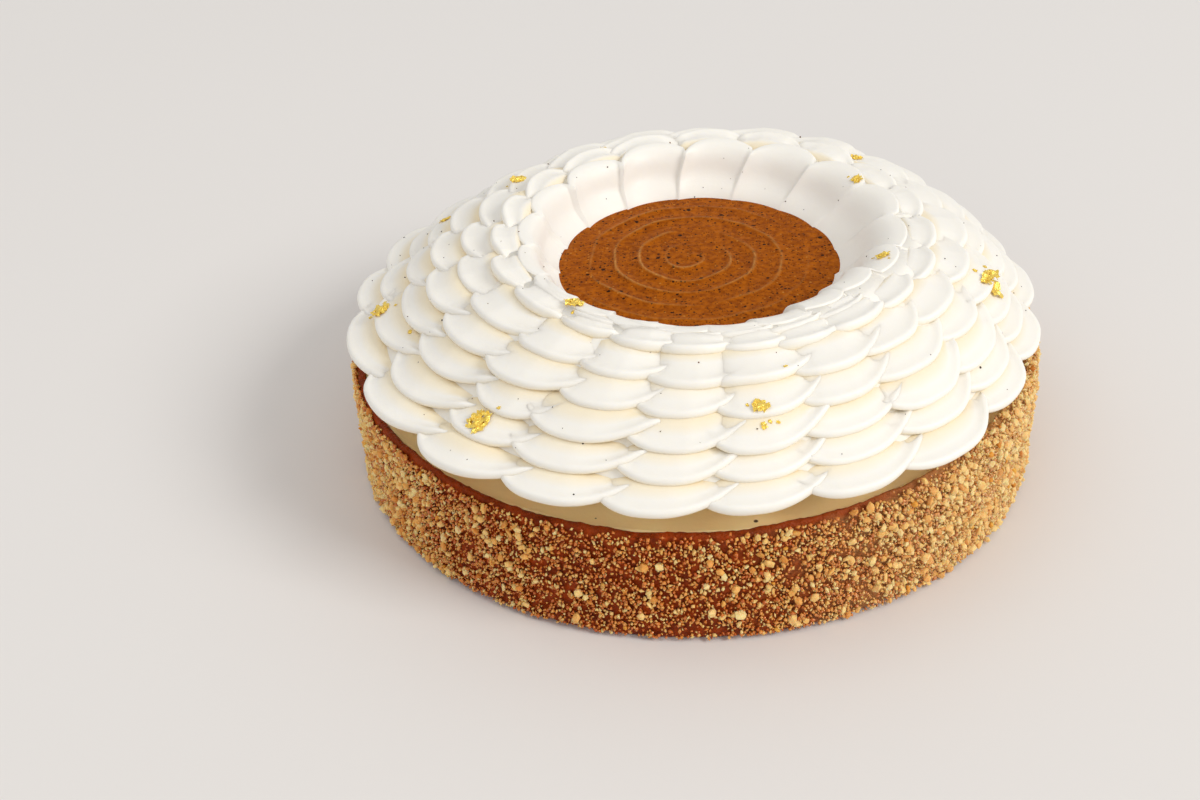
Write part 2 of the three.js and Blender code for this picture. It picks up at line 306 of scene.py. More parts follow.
def loft(loops: np.ndarray, ring: bool = False) -> Faces:
    """Faces of a skin over a row of closed loops.

    Args:
        loops: Points as loops x points of a loop x 3.
        ring: Whether the last loop joins the first; otherwise both ends are capped.

    Returns:
        The faces.
    """
    count, around = loops.shape[:2]
    faces = []
    for i in range(count if ring else count - 1):
        low, high = i * around, ((i + 1) % count) * around
        for j in range(around):
            k = (j + 1) % around
            faces.append((low + j, low + k, high + k, high + j))
    if not ring:
        faces.append(tuple(range(around)))
        faces.append(tuple((count - 1) * around + j for j in reversed(range(around))))
    return faces


def ring_object(name: str, loops: np.ndarray) -> Piece:
    """Makes an object of closed loops that stand round the middle, each joined to the next."""
    return mesh_object(name, loops.reshape(-1, 3), loft(loops, ring=True))


def float_attribute(piece: Piece, name: str, values: Sequence[float]) -> None:
    """Stores one number for each vertex of a piece."""
    attribute = piece.data.attributes.new(name, "FLOAT", "POINT")
    attribute.data.foreach_set("value", np.asarray(values, np.float32))


def vector_attribute(piece: Piece, name: str, values: np.ndarray) -> None:
    """Stores one vector for each vertex of a piece."""
    attribute = piece.data.attributes.new(name, "FLOAT_VECTOR", "POINT")
    attribute.data.foreach_set("vector", np.asarray(values, np.float32).ravel())


def smooth_path(points: np.ndarray, shares: np.ndarray) -> np.ndarray:
    """Points of a smooth curve through others.

    Args:
        points: The points it goes through.
        shares: Places along it, from 0 at the first to 1 at the last.

    Returns:
        One point for each place.
    """
    padded = np.vstack([2 * points[0] - points[1], points, 2 * points[-1] - points[-2]])
    place = np.clip(shares, 0, 1) * (len(points) - 1)
    index = np.minimum(place.astype(int), len(points) - 2)
    t = (place - index)[:, None]
    a, b, c, d = (padded[index + i] for i in range(4))
    return 0.5 * (2 * b + (c - a) * t + (2 * a - 5 * b + 4 * c - d) * t**2 + (3 * b - a - 3 * c + d) * t**3)


def settle(piece: Piece, slot: Slot, *nodes: str) -> Piece:
    """Hangs a finished piece on the tart and hides the solids that it stands for.

    Args:
        piece: The piece.
        slot: Not used.
        nodes: The solids that it replaces.

    Returns:
        The same piece.
    """
    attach(piece, BODY)
    if nodes:
        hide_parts(*nodes)
    log.info("%s: %d faces", piece.name, len(piece.data.polygons))
    return piece


class Effects:
    """Shader node groups that several finishes share."""

    CLOUD_DETAIL = 4
    DOT_LEAST, DOT_SPREAD = 0.35, 0.9
    DOT_EDGE = 4
    COARSE_DETAIL, FINE_DETAIL = 3, 2
    FINE_SHARE = 0.35

    def __init__(self) -> None:
        """Builds the groups."""
        self.mottle = self._mottle()
        self.specks = self._specks()
        self.grain = self._grain()

    def _mottle(self) -> Tree:
        """Two colours that run into each other in soft uneven patches.

        Returns:
            The group.
        """
        inputs = {"Vector": "Vector", "Scale": "Float", "Contrast": "Float"}
        inputs |= {"One": "Color", "Other": "Color"}
        graph, given = start_tree("ShaderNodeTree", "mottle", inputs, {"Color": "Color"})
        value = given.outputs
        pattern = {"Vector": value["Vector"], "Scale": value["Scale"], "Detail": self.CLOUD_DETAIL}
        cloud = graph.add("ShaderNodeTexNoise", pattern)
        centred = graph.math("SUBTRACT", cloud.outputs["Fac"], 0.5)
        wide = graph.math("MULTIPLY_ADD", centred, value["Contrast"], 0.5)
        graph.add("NodeGroupOutput", {"Color": graph.mixed(wide, value["One"], value["Other"])})
        return graph.tree

    def _specks(self) -> Tree:
        """Small uneven dots, some of them left out.

        Returns:
            The group.
        """
        inputs = {"Vector": "Vector", "Scale": "Float", "Size": "Float", "Share": "Float"}
        graph, given = start_tree("ShaderNodeTree", "specks", inputs, {"Mask": "Float"})
        value = given.outputs
        cells = graph.add("ShaderNodeTexVoronoi", {"Vector": value["Vector"], "Scale": value["Scale"]})
        pick = graph.add("ShaderNodeSeparateColor", {0: cells.outputs["Color"]})
        kept = graph.math("LESS_THAN", pick.outputs[0], value["Share"])
        part = graph.math("MULTIPLY_ADD", pick.outputs[1], self.DOT_SPREAD, self.DOT_LEAST)
        reach = graph.math("MULTIPLY", value["Size"], part)
        inside = graph.math("SUBTRACT", reach, cells.outputs["Distance"])
        edge = graph.math("MULTIPLY", graph.math("DIVIDE", inside, value["Size"]), self.DOT_EDGE)
        graph.add("NodeGroupOutput", {"Mask": graph.math("MULTIPLY", kept, graph.held(edge))})
        return graph.tree

    def _grain(self) -> Tree:
        """A fine uneven height, coarse and fine at once.

        Returns:
            The group.
        """
        inputs = {"Vector": "Vector", "Scale": "Float", "Fineness": "Float"}
        graph, given = start_tree("ShaderNodeTree", "grain", inputs, {"Height": "Float"})
        value = given.outputs
        finer = graph.math("MULTIPLY", value["Scale"], value["Fineness"])
        heights = []
        for scale, detail in ((value["Scale"], self.COARSE_DETAIL), (finer, self.FINE_DETAIL)):
            pattern = {"Vector": value["Vector"], "Scale": scale, "Detail": detail}
            heights.append(graph.add("ShaderNodeTexNoise", pattern).outputs["Fac"])
        coarse, fine = heights
        graph.add("NodeGroupOutput", {"Height": graph.math("MULTIPLY_ADD", fine, self.FINE_SHARE, coarse)})
        return graph.tree


@dataclass(frozen=True)
class Patches:
    """Soft patches of two colours: how many to the metre, and how sharply they part."""

    scale: float
    contrast: float


@dataclass(frozen=True)
class Dots:
    """Dots in cells: cells to the metre, a dot's size in its cell, and the share of cells with a dot."""

    scale: float
    size: float
    share: float


@dataclass(frozen=True)
class Relief:
    """A fine relief: bumps to the metre, how much finer its finest are, depth in millimetres, strength."""

    scale: float
    fineness: float
    depth: float
    strength: float


class Paint:
    """A material being mixed: a Principled surface with the shared effects at hand."""

    def __init__(self, name: str, effects: Effects) -> None:
        """Starts a material.

        Args:
            name: The material's name.
            effects: Shared shader effects.
        """
        self.effects = effects
        self.material = bpy.data.materials.new(name)
        self.material.use_nodes = True
        self.graph = Graph(self.material.node_tree)
        self.surface = self.material.node_tree.nodes["Principled BSDF"]
        self.place = self.graph.add("ShaderNodeTexCoord").outputs["Object"]

    def fix(self, **values: Setting) -> None:
        """Sets values of the surface that are the same all over; _ stands for a space."""
        for name, value in values.items():
            self.surface.inputs[name.replace("_", " ")].default_value = value

    def glow(self, weight: float, reach: float, tint: Colour) -> None:
        """Lets light into the surface, its reach in millimetres."""
        self.fix(Subsurface_Weight=weight, Subsurface_Scale=reach * MM, Subsurface_Radius=tint)

    def feed(self, name: str, socket: Socket) -> None:
        """Joins a socket to an input of the surface."""
        self.material.node_tree.links.new(socket, self.surface.inputs[name])

    def group(self, tree: Tree, **inputs: Setting) -> Socket:
        """What a shared effect puts out on the piece's own coordinates."""
        node = self.graph.add("ShaderNodeGroup", {"Vector": self.place, **inputs}, node_tree=tree)
        return node.outputs[0]

    def mottle(self, one: Colour, other: Colour, patches: Patches) -> Socket:
        """Two colours in soft patches."""
        tones = {"One": (*one, 1), "Other": (*other, 1)}
        return self.group(self.effects.mottle, **tones, Scale=patches.scale, Contrast=patches.contrast)

    def over(self, mask: Socket, under: Socket, colour: Colour) -> Socket:
        """A colour laid over another by a mask."""
        return self.graph.mixed(mask, under, (*colour, 1))

    def dotted(self, under: Socket, colour: Colour, dots: Dots) -> Socket:
        """A colour with dots of another in it."""
        mask = self.group(self.effects.specks, Scale=dots.scale, Size=dots.size, Share=dots.share)
        return self.over(mask, under, colour)

    def roughen(self, relief: Relief) -> None:
        """Gives the surface a fine relief.

        Args:
            relief: The relief.
        """
        height = self.group(self.effects.grain, Scale=relief.scale, Fineness=relief.fineness)
        inputs = {"Height": height, "Distance": relief.depth * MM, "Strength": relief.strength}
        self.feed("Normal", self.graph.add("ShaderNodeBump", inputs).outputs[0])

    def attribute(self, name: str) -> Socket:
        """A number that the piece's mesh carries."""
        return self.graph.add("ShaderNodeAttribute", attribute_name=name).outputs["Fac"]

    def ramp(self, factor: Socket, stops: Stops) -> Socket:
        """A colour looked up along a row of stops.

        Args:
            factor: Where to look, from 0 to 1.
            stops: The place and colour of each stop.

        Returns:
            The colour.
        """
        node = self.graph.add("ShaderNodeValToRGB", {0: factor})
        elements = node.color_ramp.elements
        while len(elements) < len(stops):
            elements.new(0.5)
        for element, (place, colour) in zip(elements, stops):
            element.position = place
            element.color = (*colour, 1)
        return node.outputs[0]


@dataclass(frozen=True)
class CreamFinish:
    """Satin ivory cream, a little translucent, with painted warm shade in its folds."""

    light: Colour = (0.945, 0.918, 0.855)
    deep: Colour = (0.938, 0.90, 0.825)
    # fold: painted warm shade for the creases under the lips and where a face runs under the next row.
    fold: Colour = (0.94, 0.80, 0.545)
    patches: Patches = Patches(45, 1.2)
    roughness: float = 0.42
    shine: float = 0.35
    glow: float = 0.25
    glow_reach: float = 1.2
    glow_tint: Colour = (0.8, 0.85, 1.0)
    relief: Relief = Relief(260, 6, 0.12, 0.5)

    def material(self, effects: Effects) -> Material:
        """Mixes the material.

        Args:
            effects: Shared shader effects.

        Returns:
            The material.
        """
        paint = Paint("piped cream", effects)
        base = paint.mottle(self.light, self.deep, self.patches)
        # Painted shade: the warm fold colour is laid over the cream as far as each vertex's fold share goes.
        paint.feed("Base Color", paint.over(paint.attribute("fold"), base, self.fold))
        paint.fix(Roughness=self.roughness, Specular_IOR_Level=self.shine)
        paint.glow(self.glow, self.glow_reach, self.glow_tint)
        paint.roughen(self.relief)
        return paint.material


@dataclass(frozen=True)
class CustardFinish:
    """Beige custard with fine dark specks."""

    light: Colour = (1.0, 0.79, 0.425)
    deep: Colour = (0.965, 0.66, 0.31)
    speck: Colour = (0.05, 0.025, 0.012)
    patches: Patches = Patches(70, 1.6)
    specks: Dots = Dots(210, 0.11, 0.22)
    roughness: float = 0.33
    glow: float = 0.3
    glow_reach: float = 2.0
    glow_tint: Colour = (1.0, 0.6, 0.3)
    relief: Relief = Relief(180, 4, 0.25, 0.6)

    def material(self, effects: Effects) -> Material:
        """Mixes the material.

        Args:
            effects: Shared shader effects.

        Returns:
            The material.
        """
        paint = Paint("custard", effects)
        base = paint.mottle(self.light, self.deep, self.patches)
        paint.feed("Base Color", paint.dotted(base, self.speck, self.specks))
        paint.fix(Roughness=self.roughness)
        paint.glow(self.glow, self.glow_reach, self.glow_tint)
        paint.roughen(self.relief)
        return paint.material


@dataclass(frozen=True)
class PralineFinish:
    """Glossy caramel-brown praline, dense with dark specks and a few pale crumbs."""

    light: Colour = (0.42, 0.107, 0.003)
    deep: Colour = (0.24, 0.052, 0.0015)
    # ridge: lighter along the spiral's crests, partly the paler thin praline there and partly a painted
    # highlight.
    ridge: Colour = (0.60, 0.30, 0.085)
    patches: Patches = Patches(700, 3.0)
    dots: tuple[tuple[Colour, Dots], ...] = (
        ((0.12, 0.028, 0.002), Dots(1500, 0.36, 0.45)),
        ((0.48, 0.18, 0.025), Dots(800, 0.26, 0.16)),
        ((0.030, 0.010, 0.004), Dots(900, 0.30, 0.55)),
        ((0.030, 0.010, 0.004), Dots(330, 0.20, 0.40)),
    )
    roughness: float = 0.36
    shine: float = 0.025
    relief: Relief = Relief(420, 4, 0.3, 0.6)

    def material(self, effects: Effects) -> Material:
        """Mixes the material.

        Args:
            effects: Shared shader effects.

        Returns:
            The material.
        """
        paint = Paint("praline", effects)
        base = paint.mottle(self.light, self.deep, self.patches)
        for colour, dots in self.dots:
            base = paint.dotted(base, colour, dots)
        # Painted highlight, partly also the paler thin praline: the spiral's crests get the ridge colour.
        paint.feed("Base Color", paint.over(paint.attribute("ridge"), base, self.ridge))
        paint.fix(Roughness=self.roughness, Specular_IOR_Level=self.shine)
        paint.roughen(self.relief)
        return paint.material


@dataclass(frozen=True)
class ShellFinish:
    """Dark red-brown baked pastry, dusted by its nuts, of one tone along its rim."""

    wall: Colour = (0.38, 0.050, 0.004)
    wall_deep: Colour = (0.14, 0.016, 0.0015)
    dust: Colour = (0.92, 0.57, 0.21)
    rim: Colour = (0.28, 0.040, 0.004)
    patches: Patches = Patches(300, 3.0)
    roughness: float = 0.32
    shine: float = 0.10
    relief: Relief = Relief(420, 4, 0.9, 1.0)

    def material(self, effects: Effects) -> Material:
        """Mixes the material.

        Args:
            effects: Shared shader effects.

        Returns:
            The material.
        """
        paint = Paint("baked shell", effects)
        wall = paint.mottle(self.wall, self.wall_deep, self.patches)
        wall = paint.over(paint.attribute("dust"), wall, self.dust)
        paint.feed("Base Color", paint.over(paint.attribute("rim"), wall, self.rim))
        paint.fix(Roughness=self.roughness, Specular_IOR_Level=self.shine)
        paint.roughen(self.relief)
        return paint.material


@dataclass(frozen=True)
class CrumbFinish:
    """Bits of one kind on the tart, each with its own tone, with painted light making them paler towards +X,
    where the key lamp falls.
    """

    name: str
    stops: Stops
    roughness: float = 0.6
    glow: float = 0.0
    shine: float = 0.25
    # Painted light: this share of the pale colour, laid on over a span of X, makes the side the key lamp
    # lights paler.
    painted_light_share: float = 0.0
    pale: Colour = (1.0, 0.76, 0.38)
    painted_light_from: float = 20.0
    painted_light_to: float = 85.0
    bright: Colour = (1, 1, 1)
    dull: Colour = (0.78, 0.70, 0.60)
    patches: Patches = Patches(900, 2.0)
    glow_reach: float = 1.4
    glow_tint: Colour = (1.0, 0.65, 0.35)
    relief: Relief = Relief(1500, 3, 0.15, 0.6)

    def material(self, effects: Effects) -> Material:
        """Mixes the material.

        Args:
            effects: Shared shader effects.

        Returns:
            The material.
        """
        paint = Paint(self.name, effects)
        tone = paint.ramp(paint.attribute("tone"), self.stops)
        # Painted light: the tone is mixed towards the pale colour across +X, where the key lamp falls.
        side = paint.graph.add("ShaderNodeSeparateXYZ", {0: paint.place}).outputs[0]
        reach = {"From Min": self.painted_light_from * MM, "From Max": self.painted_light_to * MM, "To Max": self.painted_light_share}
        share = paint.graph.add("ShaderNodeMapRange", {"Value": side, **reach}).outputs[0]
        tone = paint.over(share, tone, self.pale)
        shade = paint.mottle(self.bright, self.dull, self.patches)
        paint.feed("Base Color", paint.graph.mixed(1.0, tone, shade, "MULTIPLY"))
        paint.fix(Roughness=self.roughness, Specular_IOR_Level=self.shine)
        paint.glow(self.glow, self.glow_reach, self.glow_tint)
        paint.roughen(self.relief)
        return paint.material


@dataclass(frozen=True)
class GoldFinish:
    """Crumpled gold leaf."""

    light: Colour = (1.0, 0.80, 0.20)
    deep: Colour = (0.96, 0.62, 0.07)
    patches: Patches = Patches(900, 2.0)
    metal: float = 0.6
    roughness: float = 0.26
    relief: Relief = Relief(1100, 3, 0.3, 1.0)

    def material(self, effects: Effects) -> Material:
        """Mixes the material.

        Args:
            effects: Shared shader effects.

        Returns:
            The material.
        """
        paint = Paint("gold leaf", effects)
        paint.feed("Base Color", paint.mottle(self.light, self.deep, self.patches))
        paint.fix(Metallic=self.metal, Roughness=self.roughness)
        paint.roughen(self.relief)
        return paint.material


@dataclass(frozen=True)
class FloorFinish:
    """Plain pale table top."""

    light: Colour = (0.815, 0.792, 0.767)
    deep: Colour = (0.795, 0.77, 0.743)
    patches: Patches = Patches(3, 1.0)
    roughness: float = 0.6
    shine: float = 0.2

    def material(self, effects: Effects) -> Material:
        """Mixes the material.

        Args:
            effects: Shared shader effects.

        Returns:
            The material.
        """
        paint = Paint("pale floor", effects)
        paint.feed("Base Color", paint.mottle(self.light, self.deep, self.patches))
        paint.fix(Roughness=self.roughness, Specular_IOR_Level=self.shine)
        return paint.material


class ScatterTree:
    """Scatters small uneven lumps over a surface, denser where its coverage is higher."""

    INPUTS = {
        "Apart": "Float", "Most": "Float", "Smallest": "Float", "Largest": "Float", "Skew": "Float",
        "Lift": "Float", "Detail": "Int", "Roughness": "Float", "Lump size": "Float", "Seed": "Int",
        "Soft": "Bool", "Material": "Material",
    }
    SLIMMEST, FULLEST = (0.55, 0.5, 0.35), (1.15, 0.95, 0.8)
    FULL_TURN = (6.2832, 6.2832, 6.2832)
    BALL_RADIUS = 0.5
    CRYSTAL = {"Segments": 4, "Rings": 2, "Radius": 0.6}
    NOISE_MIDDLE = (0.5, 0.5, 0.5)
    SIZE_SALT, FORM_SALT, TURN_SALT, TONE_SALT = 1, 2, 3, 4

    def __init__(self) -> None:
        """Builds the tree."""
        graph, given = shape_tree("scatter crumbs", self.INPUTS)
        value = given.outputs
        seed = value["Seed"]
        spread = graph.add(
            "GeometryNodeDistributePointsOnFaces",
            {
                "Mesh": value["Geometry"], "Distance Min": value["Apart"], "Density Max": value["Most"],
                "Density Factor": graph.carried("coverage"), "Seed": seed,
            },
            distribute_method="POISSON",
        )
        chance = graph.math("POWER", graph.random(0.0, 1.0, seed, self.SIZE_SALT), value["Skew"])
        span = graph.math("SUBTRACT", value["Largest"], value["Smallest"])
        size = graph.math("MULTIPLY_ADD", chance, span, value["Smallest"])
        form = graph.random_vector(self.SLIMMEST, self.FULLEST, seed, self.FORM_SALT)
        turn = graph.random_vector((0, 0, 0), self.FULL_TURN, seed, self.TURN_SALT)
        raised = graph.scaled(spread.outputs["Normal"], graph.math("MULTIPLY", size, value["Lift"]))
        points = {"Geometry": spread.outputs["Points"], "Offset": raised}
        seated = graph.add("GeometryNodeSetPosition", points)
        rounded = {"Radius": self.BALL_RADIUS, "Subdivisions": value["Detail"]}
        ball = graph.add("GeometryNodeMeshIcoSphere", rounded).outputs["Mesh"]
        crystal = graph.add("GeometryNodeMeshUVSphere", self.CRYSTAL).outputs["Mesh"]
        choice = {"Switch": graph.math("LESS_THAN", value["Detail"], 1), "False": ball, "True": crystal}
        lump = graph.add("GeometryNodeSwitch", choice, input_type="GEOMETRY")
        laid = graph.add(
            "GeometryNodeInstanceOnPoints",
            {
                "Points": seated.outputs[0], "Instance": lump.outputs[0], "Rotation": turn,
                "Scale": graph.scaled(form, size),
            },
        )
        tone = graph.random(0.0, 1.0, seed, self.TONE_SALT)
        toned = graph.add(
            "GeometryNodeStoreNamedAttribute",
            {"Geometry": laid.outputs[0], "Name": "tone", "Value": tone},
            data_type="FLOAT", domain="INSTANCE",
        )
        real = graph.add("GeometryNodeRealizeInstances", {"Geometry": toned.outputs[0]})
        frequency = graph.math("DIVIDE", 1.0, value["Lump size"])
        cloud = graph.add("ShaderNodeTexNoise", {"Scale": frequency, "Detail": 1.0})
        push = graph.vector("SUBTRACT", cloud.outputs["Color"], self.NOISE_MIDDLE)
        shift = graph.scaled(push, value["Roughness"])
        rough = graph.add("GeometryNodeSetPosition", {"Geometry": real.outputs[0], "Offset": shift})
        shading = {"Geometry": rough.outputs[0], "Shade Smooth": value["Soft"]}
        soft = graph.add("GeometryNodeSetShadeSmooth", shading)
        self.tree = close_tree(graph, soft.outputs[0], value["Material"])


class LayTree:
    """Lays shapes from a collection on points that carry their turn, size and kind."""

    INPUTS = {"Shapes": "Collection", "Material": "Material"}

    def __init__(self) -> None:
        """Builds the tree."""
        graph, given = shape_tree("lay shapes", self.INPUTS)
        each = {"Separate Children": True, "Reset Children": True}
        shapes = graph.add("GeometryNodeCollectionInfo", {"Collection": given.outputs["Shapes"], **each})
        laid = graph.add(
            "GeometryNodeInstanceOnPoints",
            {
                "Points": given.outputs["Geometry"], "Instance": shapes.outputs[0], "Pick Instance": True,
                "Instance Index": graph.carried("kind", "INT"),
                "Rotation": graph.carried("turn", "FLOAT_VECTOR"),
                "Scale": graph.carried("size", "FLOAT_VECTOR"),
            },
        )
        self.tree = close_tree(graph, laid.outputs[0], given.outputs["Material"])

    def lay(
        self, name: str, shapes: Sequence[Piece], places: Sequence["Place"], material: Material
    ) -> Piece:
        """Lays shapes on places and joins them into one piece.

        Args:
            name: The piece's name.
            shapes: The shapes to choose from, in the order of their names; they are removed.
            places: Where each one goes.
            material: What the piece is dressed with.

        Returns:
            The piece.
        """
        shelf = bpy.data.collections.new(f"{name} shapes")
        bpy.context.scene.collection.children.link(shelf)
        for shape in shapes:
            bpy.context.scene.collection.objects.unlink(shape)
            shelf.objects.link(shape)
        points = mesh_object(f"{name} places", np.array([place.spot for place in places]), [])
        vector_attribute(points, "turn", np.array([place.turn for place in places]))
        vector_attribute(points, "size", np.array([place.size for place in places]))
        kinds = points.data.attributes.new("kind", "INT", "POINT")
        kinds.data.foreach_set("value", [place.kind for place in places])
        piece = grown(name, points, self.tree, {"Shapes": shelf, "Material": material})
        for shape in shapes:
            bpy.data.objects.remove(shape)
        bpy.data.collections.remove(shelf)
        return piece


class SwirlTree:
    """Raises a spiral ridge in the flat top of a disc."""

    INPUTS = {
        "Centre": "Vector", "Pitch": "Float", "Height": "Float", "Width": "Float", "Reach": "Float",
        "Material": "Material",
    }
    SWAY_SCALE, SWAY = 60.0, 0.004
    NOISE_MIDDLE = (0.5, 0.5, 0.5)
    GROOVE = -0.35
    FADE_POWER = 4
    BREAK_SCALE, BREAK_GAIN, BREAK_START = 38.0, 5.0, -2.0
    # How sharply and how strongly the crests are marked for a lighter colour: partly paler thin praline,
    # partly a painted highlight.
    TINT_POWER, TINT = 3, 0.75

    def __init__(self) -> None:
        """Builds the tree."""
        graph, given = shape_tree("raise swirl", self.INPUTS)
        value = given.outputs
        spot = graph.add("GeometryNodeInputPosition").outputs[0]
        sway = graph.add("ShaderNodeTexNoise", {"Vector": spot, "Scale": self.SWAY_SCALE, "Detail": 1.0})
        stray = graph.scaled(graph.vector("SUBTRACT", sway.outputs["Color"], self.NOISE_MIDDLE), self.SWAY)
        own = graph.vector("ADD", graph.vector("SUBTRACT", spot, value["Centre"]), stray)
        axes = graph.add("ShaderNodeSeparateXYZ", {0: own}).outputs
        square = graph.math("ADD", graph.math("POWER", axes[0], 2), graph.math("POWER", axes[1], 2))
        radius = graph.math("SQRT", square)
        angle = graph.math("DIVIDE", graph.math("ARCTAN2", axes[1], axes[0]), 2 * math.pi)
        turns = graph.math("ADD", graph.math("DIVIDE", radius, value["Pitch"]), angle)
        off_middle = graph.math("SUBTRACT", graph.math("FRACT", turns), 0.5)
        beside = graph.math("DIVIDE", off_middle, value["Width"])
        ridge = graph.math("EXPONENT", graph.math("MULTIPLY", graph.math("POWER", beside, 2), -1))
        round_wave = graph.math("COSINE", graph.math("MULTIPLY", turns, 2 * math.pi))
        wave = graph.math("ADD", ridge, graph.math("MULTIPLY", round_wave, self.GROOVE))
        outward = graph.math("POWER", graph.math("DIVIDE", radius, value["Reach"]), self.FADE_POWER)
        fade = graph.held(graph.math("SUBTRACT", 1.0, outward))
        patch = graph.add("ShaderNodeTexNoise", {"Vector": spot, "Scale": self.BREAK_SCALE, "Detail": 1.0})
        broken = graph.math("MULTIPLY_ADD", patch.outputs["Fac"], self.BREAK_GAIN, self.BREAK_START)
        uneven = graph.held(broken)
        height = graph.math("MULTIPLY", value["Height"], uneven)
        level = graph.math("MULTIPLY", graph.math("MULTIPLY", wave, fade), height)
        lift = graph.add("ShaderNodeCombineXYZ", {2: graph.math("MULTIPLY", level, graph.carried("top"))})
        raised = {"Geometry": value["Geometry"], "Offset": lift.outputs[0]}
        moved = graph.add("GeometryNodeSetPosition", raised)
        # Marks the spiral's crests for the lighter ridge colour: partly paler thin praline, partly a painted
        # highlight.
        crown = graph.math("MULTIPLY", graph.math("POWER", ridge, self.TINT_POWER), fade)
        tint = graph.math("MULTIPLY", graph.math("MULTIPLY", crown, uneven), self.TINT)
        marked = graph.add(
            "GeometryNodeStoreNamedAttribute",
            {"Geometry": moved.outputs[0], "Name": "ridge", "Value": tint},
            data_type="FLOAT", domain="POINT",
        )
        self.tree = close_tree(graph, marked.outputs[0], value["Material"])


@dataclass
class Place:
    """Where a repeated shape goes: its spot in millimetres, turn, size and kind."""

    spot: Sequence[float]
    turn: Sequence[float]
    size: Sequence[float]
    kind: int


@dataclass
class TartShell:
    """The baked cup: wall, rounded wavy rim and floor, in millimetres.

    The waves of the rim are given by count, phase and height, and the dents by height and frequency.
    """

    radius: float = 93.2
    height: float = 32.6
    wall: float = 2.3
    base: float = 4.5
    rim_round: float = 1.1
    foot_round: float = 1.2
    foot_cut: float = 0.3
    under: float = 40.0
    inside_step: float = 20.0
    margin: float = 1.0
    around: int = 600
    wall_steps: int = 16
    rim_steps: int = 13
    waves: tuple[tuple[int, float, float], ...] = ((5, 1.0, 0.35), (11, 2.4, 0.245), (23, 0.7, 0.12))
    notch: Bulge = Bulge(-98.0, 2.5, 1.2)
    wall_dents: tuple[Span, Span] = ((0.35, 0.22), (0.18, 0.7))
    rim_dents: tuple[Span, Span] = ((0.3, 0.5), (0.3, 1.2))
    piled: float = 2.2
    ragged: Span = (0.9, 0.25)
    rim_tone_from: float = 0.2
    rim_tone_over: float = 1.2
    dust: float = 0.85
    dust_on_rim: float = 0.7

    def profile(self) -> list[Span]:
        """Lists the points of a cut through the shell.

        Returns:
            Radius and height of each, from the middle of the underside round to the middle of the floor.
        """
        cut = self.foot_cut * self.foot_round
        points = [(0.0, 0.0), (self.under, 0.0), (self.radius - self.foot_round, 0.0)]
        points.append((self.radius - cut, cut))
        rim = self.height - self.rim_round
        heights = np.linspace(self.foot_round, rim - self.margin, self.wall_steps)
        points += [(self.radius, height) for height in heights]
        middle = self.radius - self.wall / 2
        for turn in np.linspace(0, math.pi, self.rim_steps):
            points.append((middle + self.wall / 2 * math.cos(turn), rim + self.rim_round * math.sin(turn)))
        inside = self.radius - self.wall
        return points + [(inside, self.inside_step), (inside, self.base), (0.0, self.base)]

    def rim_shift(self, azimuth: float) -> float:
        """Works out how much higher the rim is than on average.

        Args:
            azimuth: The place on the rim in degrees.

        Returns:
            The difference in millimetres.
        """
        angle = math.radians(azimuth)
        wave = sum(height * math.sin(count * angle + phase) for count, phase, height in self.waves)
        return wave - self.notch.at(azimuth)

    def build(self, coat: "NutCoat", material: Material) -> Piece:
        """Makes the shell.

        Args:
            coat: The nuts on its wall, whose dust colours it.
            material: Its finish.

        Returns:
            The finished piece.
        """
        profile = self.profile()
        rim = self.height - self.rim_round
        loops = np.zeros((self.around, len(profile), 3))
        shares, dusted = np.zeros((2, self.around, len(profile)))
        for i in range(self.around):
            azimuth = -180 + 360 * i / self.around
            angle = math.radians(azimuth)
            thicker = coat.thicker(azimuth)
            shift = self.rim_shift(azimuth) + self.piled * thicker
            for j, (radius, height) in enumerate(profile):
                above = max(0.0, height - rim) / self.rim_round
                spot = Vector(on_ring(radius, angle, height))
                if radius > self.radius - self.wall - self.margin and height > self.foot_round:
                    radius += sum(dent * noise.noise(spot * rate) for dent, rate in self.wall_dents)
                    rough = (dent * noise.noise(spot * rate) for dent, rate in self.rim_dents)
                    height += above * sum(rough, shift)
                loops[i, j] = on_ring(radius, angle, height)
                ragged = self.ragged[0] * noise.noise(spot * self.ragged[1])
                share = limited((height - rim - self.rim_tone_from + ragged) / self.rim_tone_over)
                shares[i, j] = share * (1 - self.dust_on_rim * thicker)
                dusted[i, j] = self.dust * thicker
        shell = ring_object("baked_shell", loops)
        float_attribute(shell, "rim", shares.ravel())
        float_attribute(shell, "dust", dusted.ravel())
        shell.data.materials.append(material)
        return settle(shell, Slot.SHELL, "tart_shell")


class CrumbKind(Enum):
    """What the small bits on the tart are."""

    NUT = "chopped_nuts"
    GRAIN = "nut_grains"
    TOASTED = "toasted_bits"
    VANILLA = "vanilla_specks"


@dataclass(frozen=True)
class Crumbs:
    """How one kind of crumb is scattered, in millimetres; the most is to the square metre."""

    kind: CrumbKind
    finish: CrumbFinish
    apart: float
    most: float
    sizes: Span
    skew: float
    lift: float
    detail: int
    roughness: float
    lump: float
    seed: int
    soft: bool = True

    def scatter(self, bed: Piece, tree: ScatterTree, effects: Effects) -> Piece:
        """Scatters the crumbs on a bed.

        Args:
            bed: The surface they lie on; it is removed.
            tree: The tree that scatters.
            effects: Shared shader effects.

        Returns:
            The piece.
        """
        values = {
            "Apart": self.apart * MM, "Most": self.most, "Smallest": self.sizes[0] * MM,
            "Largest": self.sizes[1] * MM, "Skew": self.skew, "Lift": self.lift, "Detail": self.detail,
            "Roughness": self.roughness * MM, "Lump size": self.lump * MM, "Seed": self.seed,
            "Soft": self.soft, "Material": self.finish.material(effects),
        }
        return grown(self.kind.value, bed, tree.tree, values)


